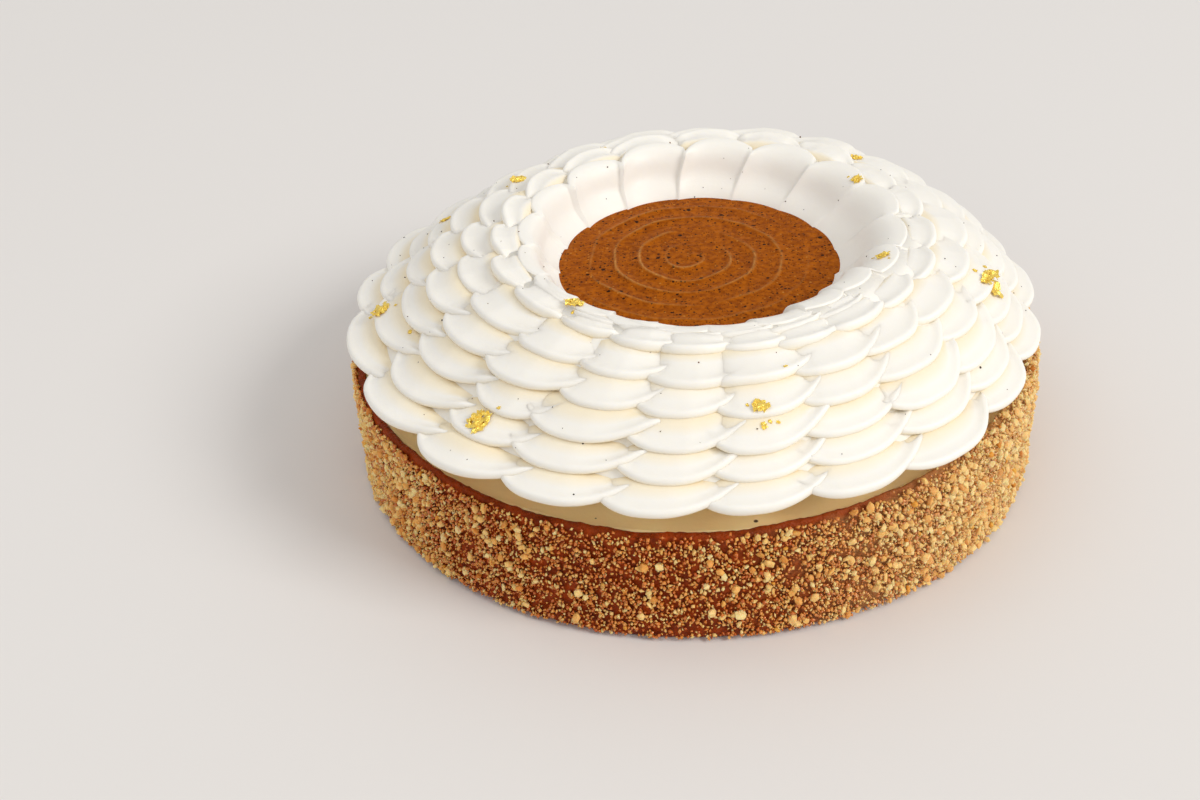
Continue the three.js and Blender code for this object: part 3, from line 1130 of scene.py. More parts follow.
@dataclass
class NutCoat:
    """The chopped nuts on the wall: a bed with coverage, and three kinds of crumb on it.

    The clumps are given by height, frequency and offset of their noise.
    """

    radius: float = 93.5
    low: float = 0.9
    high: float = 33.0
    bare_band: float = 0.35
    bare_wave: float = 0.8
    bare_rate: float = 0.2
    bare_offset: Triple = (0, 0, 90)
    top_fade: float = 1.2
    round_from: float = 32.0
    rounding: float = 0.16
    around: int = 240
    up: int = 24
    sparse_azimuth: float = -98.0
    sparse_reach: float = 52.0
    sparse_share: float = 0.30
    sparse_gain: float = 1.6
    sparse_middle: float = 0.55
    clump_middle: float = 0.5
    clumps: tuple[tuple[float, float, Triple], ...] = ((0.75, 0.16, (0, 0, 0)), (0.5, 0.45, (40, 0, 0)))
    grain_cover: Span = (0.75, 0.5)
    grain_sparse: Span = (0.9, 0.1)
    thick_azimuth: float = -8.0
    thick_reach: float = 54.0
    thick: float = 1.5
    climb: float = 3.4
    seed: int = 7

    def thicker(self, azimuth: float) -> float:
        """How far a spot of the wall lies in the thickest part of the coat, from 0 to 1."""
        away = turn_between(self.thick_azimuth, azimuth) / self.thick_reach
        return math.exp(-(away**4))

    def coverage(self, azimuth: float, height: float, kind: CrumbKind) -> float:
        """How thickly a kind of crumb lies at a spot of the wall, from 0 to 1.

        Args:
            azimuth: In degrees.
            height: In millimetres.
            kind: The kind of crumb.

        Returns:
            The coverage.
        """
        away = abs(turn_between(self.sparse_azimuth, azimuth)) / self.sparse_reach
        thin = self.sparse_share + (1 - self.sparse_share) * min(1.0, away**2)
        spot = Vector(on_ring(self.radius, math.radians(azimuth), height))
        clump = self.clump_middle
        for swell, rate, offset in self.clumps:
            clump += swell * noise.noise(spot * rate + Vector(offset))
        bare = 1 + self.bare_wave * noise.noise(spot * self.bare_rate + Vector(self.bare_offset))
        top = self.high + self.climb * self.thicker(azimuth) - self.bare_band * bare
        share = limited(clump + self.sparse_gain * (thin - self.sparse_middle))
        if kind is CrumbKind.GRAIN:
            cover, sparse = self.grain_cover, self.grain_sparse
            share = min(1.0, cover[0] + cover[1] * share) * (sparse[0] + sparse[1] * thin)
        return limited((top - height) / self.top_fade) * share

    def bed(self, kind: CrumbKind) -> Piece:
        """Makes the band of wall that a kind of crumb lies on, with its coverage.

        Args:
            kind: The kind of crumb.

        Returns:
            The band.
        """
        points, values, faces = [], [], []
        for i in range(self.around):
            azimuth = 360 * i / self.around
            thicker = self.thicker(azimuth)
            for height in np.linspace(self.low, self.high + self.climb * thicker, self.up):
                rounding = self.rounding * max(0.0, height - self.round_from) ** 2
                radius = self.radius + self.thick * thicker - rounding
                points.append(on_ring(radius, math.radians(azimuth), height))
                values.append(self.coverage(azimuth, height, kind))
            low, high = i * self.up, ((i + 1) % self.around) * self.up
            faces += [(low + j, high + j, high + j + 1, low + j + 1) for j in range(self.up - 1)]
        mesh = bpy.data.meshes.new("nut bed")
        mesh.from_pydata((np.array(points) * MM).tolist(), [], faces)
        bed = linked("nut bed", mesh)
        float_attribute(bed, "coverage", values)
        return bed

    def kinds(self) -> list[Crumbs]:
        """Lists the kinds of crumb on the wall.

        Returns:
            The kinds, largest first.
        """
        # The nuts and grains get painted light: paler towards +X, where the key lamp falls.
        golden = CrumbFinish(
            "chopped nuts",
            (
                (0.0, (0.72, 0.28, 0.05)), (0.25, (0.94, 0.50, 0.135)),
                (0.65, (1.0, 0.67, 0.26)), (1.0, (1.0, 0.79, 0.385)),
            ),
            roughness=0.5, glow=0.5, painted_light_share=0.35,
        )
        grainy = CrumbFinish(
            "nut grains",
            (
                (0.0, (0.52, 0.115, 0.015)), (0.4, (0.76, 0.25, 0.045)),
                (0.75, (0.93, 0.44, 0.115)), (1.0, (1.0, 0.70, 0.29)),
            ),
            roughness=0.18, glow=0.5, shine=0.5, painted_light_share=0.4,
        )
        toasted = CrumbFinish(
            "toasted bits",
            ((0.0, (0.55, 0.16, 0.02)), (0.6, (0.80, 0.34, 0.04)), (1.0, (0.90, 0.48, 0.08))),
            roughness=0.45, glow=0.2,
        )
        return [
            Crumbs(
                CrumbKind.NUT, golden, apart=1.1, most=6.5e5, sizes=(1.2, 3.3), skew=2.0, lift=0.2,
                detail=1, roughness=1.3, lump=1.1, seed=self.seed, soft=False,
            ),
            Crumbs(
                CrumbKind.GRAIN, grainy, apart=0.63, most=3.4e6, sizes=(0.8, 1.6), skew=1.3, lift=0.3,
                detail=0, roughness=0.5, lump=0.7, seed=self.seed + 1,
            ),
            Crumbs(
                CrumbKind.TOASTED, toasted, apart=3.0, most=1.2e4, sizes=(1.0, 2.2), skew=1.5, lift=0.4,
                detail=2, roughness=0.8, lump=1.0, seed=self.seed + 2,
            ),
        ]

    def build(self, tree: ScatterTree, effects: Effects) -> list[Piece]:
        """Makes one finished piece for each kind of crumb."""
        pieces = [crumbs.scatter(self.bed(crumbs.kind), tree, effects) for crumbs in self.kinds()]
        return [settle(piece, Slot.SHELL, "tart_shell") for piece in pieces]


@dataclass
class CustardFilling:
    """The custard: a disc to just below the rim, drawn up a little where it meets the wall."""

    radius: float = 91.0
    level: float = 30.9
    floor: float = 4.8
    steps: tuple[float, ...] = (0.0, 40.0, 70.0, 76.0, 79.0, 81.0, 83.0, 84.5, 86.0, 87.5, 88.7, 89.6)
    draw_up: float = 0.6
    draw_from: float = 86.5
    draw_over: float = 3.9
    unevenness: float = 0.3
    wave_rate: float = 0.12
    around: int = 240

    def build(self, material: Material) -> Piece:
        """Makes the custard.

        Args:
            material: Its finish.

        Returns:
            The finished piece.
        """
        profile = [(0.0, self.floor), (self.radius, self.floor)]
        for radius in (self.radius, *reversed(self.steps)):
            drawn = self.draw_up * max(0.0, (radius - self.draw_from) / self.draw_over) ** 3
            profile.append((radius, self.level + drawn))
        loops = np.zeros((self.around, len(profile), 3))
        for i in range(self.around):
            angle = 2 * math.pi * i / self.around
            for j, (radius, height) in enumerate(profile):
                spot = Vector(on_ring(radius, angle, height))
                if height > self.floor:
                    spot.z += self.unevenness * noise.noise(spot * self.wave_rate)
                loops[i, j] = spot
        custard = ring_object("custard", loops)
        custard.data.materials.append(material)
        return settle(custard, Slot.CUSTARD, "custard_filling")


@dataclass(frozen=True)
class PetalRow:
    """One row of petals: radius and height of its lip's lower edge, and its lean to the right."""

    radius: float
    height: float
    shift: float


@dataclass
class Petal:
    """A piped petal: where it lies in its row, and half its room on either side in degrees."""

    azimuth: float
    radius: float
    height: float
    shift: float
    half_pitch: float = 9.0
    half_before: float = 9.0


class Side(Enum):
    """Which side of the tart a petal lies on, seen from the camera."""

    MIDDLE = 0
    LEFT = 1
    RIGHT = 2

    @classmethod
    def at(cls, azimuth: float) -> "Side":
        """Tells which side a place is on.

        Args:
            azimuth: The place's azimuth in degrees.

        Returns:
            The side.
        """
        across = math.cos(math.radians(azimuth))
        if abs(across) < SIDE_FROM:
            return cls.MIDDLE
        return cls.LEFT if across < 0 else cls.RIGHT


@dataclass(frozen=True)
class SideForm:
    """How the petals of one side differ: reach of their ends, factors on lip, lift and rise, more bend."""

    left_reach: float
    tail_reach: float
    lip: float = 1.0
    lift: float = 1.0
    tail_rise: float = 1.0
    tail_bend: float = 0.0
    lip_tail: float = 0.5


@dataclass(frozen=True)
class PetalSpread:
    """Between which values the forms of petals vary; the reaches are factors."""

    tail_reach: Span = (0.96, 1.05)
    left_reach: Span = (0.95, 1.06)
    left_rise: Span = (0.42, 0.56)
    left_bend: Span = (2.6, 3.4)
    tail_rise: Span = (0.27, 0.32)
    tail_bend: Span = (1.95, 2.25)
    lip: Span = (2.4, 2.8)
    lift: Span = (0.7, 1.0)
    dish: Span = (0.35, 0.55)


@dataclass
class PetalShape:
    """The form of a petal: a leaf with a raised rounded lip, a blunt left end and a tail drawn inwards.

    The reaches and rises of its two ends are shares of the half-width. The curves describe a cut through
    it: the underside by share of the way back and depth; the lip by millimetres inwards, share of its
    height and share of painted warm shade (its fold); the face behind it by millimetres inwards, the
    largest share of the way back and share of the hollow; and the back by share of the way and share of
    the hollow. The face and back get painted warm shade where they run under the next row's lip.
    """

    half_width: float = 14.1
    depth: float = 12.5
    ring_radius: float = 94.4
    left_reach: float = 1.14
    left_rise: float = 0.50
    left_bend: float = 3.0
    left_steps: int = 16
    left_hidden: Span = (0.93, 0.985)
    tail_reach: float = 1.75
    tail_rise: float = 0.92
    tail_bend: float = 2.1
    tail_steps: int = 18
    tail_hidden: float = 1.015
    lip: float = 2.6
    lip_left: float = 1.4
    lip_tail: float = 0.5
    lip_full: Span = (-0.55, 0.35)
    lip_thin: Span = (0.95, 0.62)
    drop: float = 1.0
    lift: float = 0.9
    seat: float = 0.3
    bury: float = 2.2
    bury_from: float = 0.88
    fade: float = 1.3
    fade_from: float = 0.84
    dish: float = 0.45
    dish_ends: float = 0.8
    dish_limit: float = 1.3
    rise: float = 0.3
    dive: float = 1.0
    dive_from: float = 0.7
    hidden: float = 1.8
    run: float = 5.6
    sink: float = 0.45
    sink_after: float = 2.0
    tuck: float = 1.0
    # This and the next two set the painted warm shade on the face where it runs under the next row's lip.
    fold: float = 0.8
    fold_shade_after: float = 0.02
    fold_shade_over: float = 0.14
    back_width: float = 0.88
    back_least: float = 3.0
    curve_share: float = 0.45
    curve_limits: Span = (0.8, 4.5)
    under_curve: tuple[Span, ...] = ((1.0, 1.6), (0.5, 0.7))
    lip_limit: float = 0.2
    # The last number of each lip point is its share of painted warm shade, most at the underside.
    lip_curve: tuple[Triple, ...] = (
        (0.75, -0.04, 1.0), (0.36, 0.04, 0.9), (0.1, 0.18, 0.6), (0.0, 0.4, 0.28), (0.06, 0.62, 0.1),
        (0.2, 0.8, 0.0), (0.5, 0.94, 0.0), (0.95, 1.0, 0.0),
    )
    face_curve: tuple[Triple, ...] = (
        (1.6, 0.28, 0.35), (2.3, 0.38, 0.8), (3.4, 0.48, 1.0), (5.0, 0.6, 0.85),
    )
    back_curve: tuple[Span, ...] = ((0.72, 0.5), (0.85, 0.2), (1.0, 0.0))
    stations: int = 34

    def outline(self) -> np.ndarray:
        """Draws the petal's edge in plan.

        Returns:
            Its points, from the hidden left side round the front to the tail.
        """
        left, tail = self.left_reach * self.half_width, self.tail_reach * self.half_width
        high, far = self.left_rise * self.half_width, self.tail_rise * self.half_width
        inner, outer = self.left_hidden
        points = [(-inner * left, high + self.hidden), (-outer * left, high + 0.5 * self.hidden)]
        for x in np.linspace(-left, 0, self.left_steps):
            points.append((x, high * (-x / left) ** self.left_bend))
        for x in np.linspace(0, tail, self.tail_steps)[1:]:
            points.append((x, far * (x / tail) ** self.tail_bend))
        points += [(self.tail_hidden * tail, far + 0.5 * self.hidden), (tail, far + self.hidden)]
        edge = np.array(points)
        edge[:, 1] += edge[:, 0] ** 2 / (2 * self.ring_radius)
        return edge

    def spaced_outline(self) -> np.ndarray:
        """Draws the edge at even steps along its length.

        Returns:
            One point for each station.
        """
        edge = self.outline()
        along = np.concatenate([[0], np.cumsum(np.linalg.norm(np.diff(edge, axis=0), axis=1))])
        steps = np.linspace(0, along[-1], self.stations)
        return np.stack([np.interp(steps, along, edge[:, 0]), np.interp(steps, along, edge[:, 1])], 1)

    def section(self, top: float, bottom: float, hollow: float, reach: float) -> list[Triple]:
        """Points round a cut through the petal: share of the way to the back, height and share of painted
        shade.

        Args:
            top: Height of the lip's top.
            bottom: Height of the lip's underside.
            hollow: How deep the face lies behind the lip.
            reach: How far the curve to the back starts out along the edge's normal.

        Returns:
            The points, from the underside at the back round the lip to the top at the back.
        """
        # The underside gets the full painted shade.
        points = [(share, bottom - lower, 1.0) for share, lower in self.under_curve]
        for inward, up, fold in self.lip_curve:
            share = min(self.lip_limit, inward / (2 * reach))
            points.append((share, bottom + (top - bottom) * up, fold))
        for inward, limit, sunk in self.face_curve:
            share = min(limit, inward / (2 * reach))
            points.append((share, top - sunk * hollow, self.fold_shade(share)))
        for share, sunk in self.back_curve:
            dive = self.dive * max(0.0, (share - self.dive_from) / (1 - self.dive_from)) ** 2
            points.append((share, top - sunk * hollow + (self.rise * share**2 - dive), self.fold_shade(share)))
        return points

    def fold_shade(self, share: float) -> float:
        """How much painted warm shade a part of the face gets for lying in the fold under the next row, from
        0 to 1.
        """
        return self.fold * limited((share - self.run / self.depth - self.fold_shade_after) / self.fold_shade_over)

    def lifted(self, across: float, along: float) -> float:
        """Works out how much higher a place on the edge lies than the middle of the lip.

        Args:
            across: Its place as a share of the half-width, below 0 on the left.
            along: Its place as a share of the edge's length.

        Returns:
            The lift in millimetres.
        """
        lift = self.lift * (max(0.0, across) / self.tail_reach) ** 2
        lift -= self.drop * (max(0.0, -across) / self.left_reach) ** 1.5
        lift -= self.bury * max(0.0, (abs(2 * along - 1) - self.bury_from) / (1 - self.bury_from)) ** 2
        return lift - self.fade * max(0.0, (along - self.fade_from) / (1 - self.fade_from)) ** 1.5

    def build(self, name: str) -> Piece:
        """Makes the petal, lying flat with the middle of its lip at the origin.

        Args:
            name: The object's name.

        Returns:
            The petal.
        """
        edge = self.spaced_outline()
        run = np.gradient(edge, axis=0)
        normals = np.stack([-run[:, 1], run[:, 0]], 1)
        normals /= np.linalg.norm(normals, axis=1)[:, None]
        stops = [-self.left_reach, *self.lip_full, self.lip_thin[0], self.tail_reach]
        lips = [self.lip_left, self.lip, self.lip, self.lip_thin[1] * self.lip, self.lip_tail]
        least, most = self.curve_limits
        loops, folds = [], []
        for along, spot, normal in zip(np.linspace(0, 1, self.stations), edge, normals):
            across = spot[0] / self.half_width
            behind = self.depth + spot[0] ** 2 / (2 * self.ring_radius)
            back = np.array([spot[0] * self.back_width, max(behind, spot[1] + self.back_least)])
            reach = max(least, min(most, self.curve_share * np.linalg.norm(back - spot)))
            turn_point = spot + normal * reach
            lift = self.lifted(across, along)
            top = float(np.interp(across, stops, lips)) + lift
            bottom = min(0.0, lift) - self.seat - self.tuck * (max(0.0, across) / self.tail_reach) ** 2
            hollow = self.dish * (1 + self.dish_ends * min(self.dish_limit, abs(across)) ** 2)
            loop = []
            for share, height, fold in self.section(top, bottom, hollow, reach):
                plan = (1 - share) ** 2 * spot + 2 * share * (1 - share) * turn_point + share**2 * back
                inward = plan[1] - plan[0] ** 2 / (2 * self.ring_radius)
                sunk = self.sink * max(0.0, inward - self.run - self.sink_after)
                loop.append((plan[0], plan[1], height - sunk))
                folds.append(fold)
            loops.append(loop)
        loops = np.array(loops)
        petal = mesh_object(name, loops.reshape(-1, 3), loft(loops))
        # Painted shade: each vertex's share of the warm fold colour.
        float_attribute(petal, "fold", folds)
        return petal


@dataclass(frozen=True)
class LobeForm:
    """The form of a lobe of the crest, in cuts from -1 at its left edge to 1 at its right.

    A pair of shares is that of the near side and what the far side adds. The shoulder is given by
    millimetres inwards, share of the drawn-back lip made up, depth under the lip, share of the way to the
    praline and share of the sink; the slope by share of the way to the foot, depth and the same two shares.
    """

    cuts: tuple[float, ...] = (
        -0.96, -0.85, -0.68, -0.48, -0.25, 0.0, 0.25, 0.48, 0.66, 0.8, 0.89, 0.95, 1.0,
    )
    skin_steps: int = 32
    lip: Span = (0.7, 0.3)
    lip_spread: Span = (0.9, 1.1)
    lip_turns: tuple[float, ...] = (-80, -40, 0, 40, 80)
    lip_outer: float = 0.5
    lip_inner: float = 1.4
    dome: Span = (0.2, 0.5)
    dome_middle: float = 0.1
    tilt: float = 0.3
    back: Span = (0.4, 0.6)
    back_left: float = 3.8
    back_right: float = 5.6
    back_bend: float = 2.4
    back_lower: float = 0.2
    edge: float = 0.7
    edge_from: float = 0.82
    edge_over: float = 0.19
    edge_limit: float = 0.95
    left_drop: float = 1.5
    left_from: float = -0.4
    left_over: float = 0.85
    drop: Span = (0.15, 0.85)
    left_side: float = -0.4
    shoulder: tuple[tuple[float, ...], ...] = ((4.0, 0.2, 0.7, 0.1, 0.5), (7.0, 0.5, 3.2, 0.35, 0.9))
    slope: tuple[tuple[float, ...], ...] = ((0.55, 7.0, 0.65, 1.0), (0.82, 11.0, 0.85, 1.0))
    sink: Span = (0.25, 0.75)
    even: float = 0.9
    even_from: float = 0.85
    tip: float = 0.7

    def drawn_back(self, across: float, far: float) -> float:
        """How far inwards the lip is drawn at a cut, given how far round to the far side it lies."""
        ends = self.back_left * max(0.0, -across) ** 2 + self.back_right * max(0.0, across) ** self.back_bend
        return (self.back[0] + self.back[1] * far) * ends

    def dropped(self, across: float, dome: float, far: float, azimuth: float) -> float:
        """Works out how much lower a cut lies than the lobe's middle.

        Args:
            across: The cut.
            dome: How much the lobe is domed.
            far: How far round to the far side it lies, from 0 to 1.
            azimuth: The lobe's azimuth in degrees.

        Returns:
            The drop in millimetres.
        """
        edge = min(self.edge_limit, max(0.0, (across - self.edge_from) / self.edge_over))
        drop = self.edge * (1 - math.sqrt(1 - edge**2))
        drop += self.left_drop * max(0.0, (self.left_from - across) / self.left_over) ** 2
        drop += dome * (across - self.dome_middle) ** 2 - self.tilt * across
        least, more = self.drop
        return drop * (least + more * max(far, self.left_side * math.cos(math.radians(azimuth))))

    def path(
        self, radius: float, back: float, crest: float, lip: float, foot: Span
    ) -> list[tuple[float, ...]]:
        """Lists the points of a cut, from the outer lip down the bowl.

        Args:
            radius: The row's radius.
            back: How far inwards the lip is drawn.
            crest: The lobe's height.
            lip: The lip's thickness.
            foot: Radius and height of the bowl's foot.

        Returns:
            Each point's radius and height, share of the way to the praline and share of the sink.
        """
        outer, high = radius - back, crest - self.back_lower * back
        points = []
        for turn in np.radians(self.lip_turns):
            inward = (self.lip_outer if turn < 0 else self.lip_inner) * lip * (1 - math.cos(turn))
            points.append((outer - inward, high + 0.5 * lip * (1 + math.sin(turn)), 0.0, 0.0))
        for inward, regained, depth, inner, lean in self.shoulder:
            points.append((outer - inward + regained * back, high + lip - depth, inner, lean))
        for share, depth, inner, lean in self.slope:
            points.append(((1 - share) * outer + share * foot[0], crest - depth, inner, lean))
        return points + [(*foot, 1.0, 1.0)]

    def sunk(self, point: tuple[float, ...], drop: float) -> Span:
        """Lets a point of a cut's path down.

        Args:
            point: The point, as the path gives it.
            drop: The cut's drop.

        Returns:
            Its new radius and height.
        """
        radius, height, inner, lean = point
        even = 1 - self.even * min(1.0, inner / self.even_from) ** 4
        sink = drop * (self.sink[0] + self.sink[1] * lean) * even
        tip = self.tip * inner
        return radius + sink * tip, height - sink * (1 - 0.5 * tip)


@dataclass
class CreamCrown:
    """The crown: rows of overlapping petals, and a crest of lobes that run down into the bowl."""

    rows: tuple[PetalRow, ...] = (
        PetalRow(94.2, 40.0, 0.4),
        PetalRow(88.1, 44.0, 2.0),
        PetalRow(82.0, 48.8, 3.9),
        PetalRow(76.1, 54.3, 4.9),
        PetalRow(68.9, 58.6, 5.9),
        PetalRow(59.8, 62.2, 6.4),
        PetalRow(54.6, 62.9, 6.4),
    )
    crest: PetalRow = PetalRow(53.0, 63.9, 6.4)
    seen: tuple[float, ...] = (-169.0, -149.5, -129.5, -112.5, -96.0, -81.0, -65.0, -47.5, -29.5, -12.0)
    unseen: int = 11
    pushed: tuple[Bulge, ...] = (Bulge(-56.0, 15.0, 2.2), Bulge(-125.0, 17.0, 2.0))
    crowding: float = 7.0
    crowded_from: int = 5
    unevenness: Triple = (0.9, 0.7, 0.3)
    sway: Triple = (0.03, 0.012, 0.03)
    least_width: float = 0.96
    width_spread: Span = (0.98, 1.06)
    height_spread: Span = (0.94, 1.06)
    spread: PetalSpread = PetalSpread()
    middle_form: SideForm = SideForm(1.14, 1.64)
    left_form: SideForm = SideForm(1.03, 1.66, lift=0.5, lip_tail=0.9)
    right_form: SideForm = SideForm(1.2, 1.38, lip=0.86, tail_rise=1.5, tail_bend=0.5)
    lobe_form: LobeForm = LobeForm()
    lobes: int = 19
    lobe_crowding: float = 15.0
    lobe_unevenness: float = 0.6
    first_lobe: float = -64.0
    drawn_in: Bulge = Bulge(-40.0, 24.0, 3.5)
    drawn_up: float = 0.3
    centre_y: float = -2.0
    far_rise: float = 1.8
    far_from: float = 46.0
    far_over: float = 14.0
    seed: int = 5
    kinds: int = 3
    tucked: float = 7.4
    brim_seen: Span = (-152.0, -38.0)
    brim_depth: float = 6.0
    brim_climb: float = -0.2
    brim_tucked: float = 2.6
    brim_dive: float = 2.6
    brim_share: float = 0.72
    meet: float = 0.8
    praline_x: float = 2.4
    foot_radius: float = 35.9
    foot_height: float = 50.0
    squeeze: float = 1.1
    core_foot: tuple[Span, ...] = ((76.0, 30.3), (80.0, 36.0), (86.4, 41.6))
    core_rows: tuple[int, int] = (1, 6)
    core_inset: float = 2.4
    core_lift: float = 0.1
    core_lean_from: float = 38.0
    core_lean_over: float = 24.0
    core_hidden: tuple[Span, ...] = ((38.0, 47.0), (40.0, 40.0), (40.0, 30.3))

    def azimuths(self, index: int) -> list[float]:
        """Lists where a row's petals lie, closer together at the front of the upper rows.

        Args:
            index: The row's number.

        Returns:
            Their azimuths in degrees.
        """
        rest = np.linspace(self.seen[-1], self.seen[0] + 360, self.unseen + 2)[1:-1]
        top = self.crowding if index >= self.crowded_from else 0.0
        return [own - top * math.cos(math.radians(own)) for own in (*self.seen, *rest)]

    def crest_lobes(self) -> list[Petal]:
        """Lists the lobes inside the crest, wider on the far side.

        Returns:
            The lobes.
        """
        draws = Draws(self.seed + 4)
        found = []
        for i in range(self.lobes):
            even = self.first_lobe + 360 / self.lobes * i
            own = even - self.lobe_crowding * math.cos(math.radians(even)) + draws.swing()
            inward = self.drawn_in.at(turn_between(0, own))
            radius = self.crest.radius + self.lobe_unevenness * draws.swing() - inward
            found.append(Petal(own, radius, self.crest.height + self.drawn_up * inward, self.crest.shift))
        self.pitch(found)
        return found

    def pitch(self, petals: list[Petal]) -> None:
        """Works out each petal's room on either side from where its neighbours lie.

        Args:
            petals: The petals of one row, in order.
        """
        for petal, after in zip(petals, petals[1:] + petals[:1]):
            petal.half_pitch = turn_between(petal.azimuth, after.azimuth) / 2
            after.half_before = petal.half_pitch

    def piped(self) -> list[list[Petal]]:
        """Pipes every petal, each a little out of place.

        Returns:
            The petals of each row.
        """
        draws = Draws(self.seed)
        turn, out, up = self.unevenness
        rows = []
        for index, row in enumerate(self.rows):
            petals = []
            for azimuth in self.azimuths(index):
                own = azimuth + turn * draws.swing()
                further = sum(push.at(own) for push in self.pushed) if index == 0 else 0.0
                radius = row.radius + out * draws.swing() + further
                petals.append(Petal(own, radius, row.height + up * draws.swing(), row.shift))
            self.pitch(petals)
            rows.append(petals)
        return rows

    def spot(self, petal: Petal) -> Triple:
        """The middle of a petal's lip."""
        x, y, z = on_ring(petal.radius, math.radians(petal.azimuth), petal.height + self.raised(petal))
        return petal.shift + x, self.centre_y + y, z

    def raised(self, petal: Petal) -> float:
        """How much higher a petal lies for being on the far side, most of all near the crest."""
        near_crest = limited((petal.height - self.far_from) / self.far_over)
        return self.far_rise * near_crest * max(0.0, math.sin(math.radians(petal.azimuth)))

    def half_width(self, row: PetalRow) -> float:
        """Half the room that each petal of a row has."""
        return row.radius * math.pi / (len(self.seen) + self.unseen)

    def climb(self, index: int) -> Span:
        """Works out how far a row's petals go until they meet the next row's lips.

        Args:
            index: The row's number.

        Returns:
            How far in and how far up.
        """
        row = self.rows[index]
        if index == len(self.rows) - 1:
            return self.brim_depth, self.brim_climb
        upper = self.crest if index == len(self.rows) - 2 else self.rows[index + 1]
        return row.radius - upper.radius, upper.height + self.meet - row.height - PetalShape.lip

    def forms(self) -> list[PetalShape]:
        """Draws slightly different forms of petal to choose from.

        Returns:
            A few for each side of each row.
        """
        draws, spread = Draws(self.seed + 1), self.spread
        sides = {Side.MIDDLE: self.middle_form, Side.LEFT: self.left_form, Side.RIGHT: self.right_form}
        found = []
        for index, row in enumerate(self.rows):
            brim, last = index >= len(self.rows) - 2, index == len(self.rows) - 1
            run = self.climb(index)[0]
            depth = run + (0.0 if last else self.brim_tucked if brim else self.tucked)
            for form in (sides[side] for side in Side for _ in range(self.kinds)):
                reach = form.tail_reach * draws.between(*spread.tail_reach)
                reach *= self.brim_share if brim else 1
                shape = PetalShape(
                    half_width=self.half_width(row), depth=depth, ring_radius=row.radius, run=run,
                    left_reach=form.left_reach * draws.between(*spread.left_reach),
                    left_rise=draws.between(*spread.left_rise),
                    left_bend=draws.between(*spread.left_bend),
                    tail_reach=reach,
                    tail_rise=draws.between(*spread.tail_rise) * reach**2 * form.tail_rise,
                    tail_bend=draws.between(*spread.tail_bend) + form.tail_bend,
                    lip=draws.between(*spread.lip) * (self.brim_share if last else 1) * form.lip,
                    lip_tail=form.lip_tail,
                    lift=draws.between(*spread.lift) * form.lift,
                    dish=draws.between(*spread.dish),
                )
                if brim:
                    shape.dive = self.brim_dive
                found.append(shape)
        return found

    def places(self, rows: list[list[Petal]]) -> list[Place]:
        """Lists where every petal goes, each row leaning up to the next.

        Args:
            rows: The petals of each row.

        Returns:
            The places.
        """
        draws = Draws(self.seed + 2)
        found = []
        for index, (row, petals) in enumerate(zip(self.rows, rows)):
            lean = math.atan2(*reversed(self.climb(index)))
            for petal in petals:
                wide = petal.half_pitch * math.radians(petal.radius) / self.half_width(row)
                turn = (
                    lean + self.sway[0] * draws.swing(),
                    self.sway[1] * draws.swing(),
                    math.radians(petal.azimuth + 90) + self.sway[2] * draws.swing(),
                )
                wide = max(self.least_width, wide) * draws.between(*self.width_spread)
                size = (wide, 1.0, draws.between(*self.height_spread))
                group = index * len(Side) + Side.at(petal.azimuth).value
                kind = group * self.kinds + int(draws.share() * self.kinds)
                if index < len(self.rows) - 1 or self.brim_seen[0] < petal.azimuth < self.brim_seen[1]:
                    found.append(Place(self.spot(petal), turn, size, kind))
        return found

    def lobe(self, petal: Petal, draws: Draws) -> list[np.ndarray]:
        """Cuts through one lobe of the crest, each from the outer lip down the bowl.

        Args:
            petal: Where the lobe lies.
            draws: Random numbers for its unevenness.

        Returns:
            The cuts, side by side.
        """
        form = self.lobe_form
        far = max(0.0, math.sin(math.radians(petal.azimuth)))
        lip = (form.lip[0] + form.lip[1] * far) * draws.between(*form.lip_spread)
        dome = draws.between(*form.dome)
        crest = petal.height + self.raised(petal)
        cuts = []
        for across in form.cuts:
            room = petal.half_before if across < 0 else petal.half_pitch
            angle = math.radians(petal.azimuth + across * room)
            drop = form.dropped(across, dome, far, petal.azimuth)
            foot = self.foot_radius - self.squeeze * math.cos(angle) ** 2, self.foot_height
            spots = []
            for point in form.path(petal.radius, form.drawn_back(across, far), crest, lip, foot):
                wide, tall = form.sunk(point, drop)
                x, y, z = on_ring(wide, angle, tall)
                inner = point[2]
                shift = petal.shift + (self.praline_x - petal.shift) * inner
                spots.append((shift + x, self.centre_y * (1 - inner) + y, z))
            skin = smooth_path(np.array(spots), np.linspace(0, 1, form.skin_steps))
            cuts.append(np.vstack([self.core(angle), skin, self.core_inside(angle)]))
        return cuts

    def core(self, angle: float) -> np.ndarray:
        """Draws what fills the crown under its petals.

        Args:
            angle: Where it is cut, in radians.

        Returns:
            Its points from the custard up to the crest.
        """
        profile = list(self.core_foot)
        for row in self.rows[slice(*self.core_rows)]:
            profile.append((row.radius - self.core_inset, row.height + self.core_lift))
        points = []
        for radius, height in profile:
            x, y, z = on_ring(radius, angle, height)
            lean = self.crest.shift * limited((height - self.core_lean_from) / self.core_lean_over)
            points.append((lean + x, self.centre_y + y, z))
        return np.array(points)

    def core_inside(self, angle: float) -> np.ndarray:
        """The core's hidden inner side under the praline, at an angle."""
        points = [on_ring(radius, angle, height) for radius, height in self.core_hidden]
        return np.array([(self.praline_x + x, y, z) for x, y, z in points])

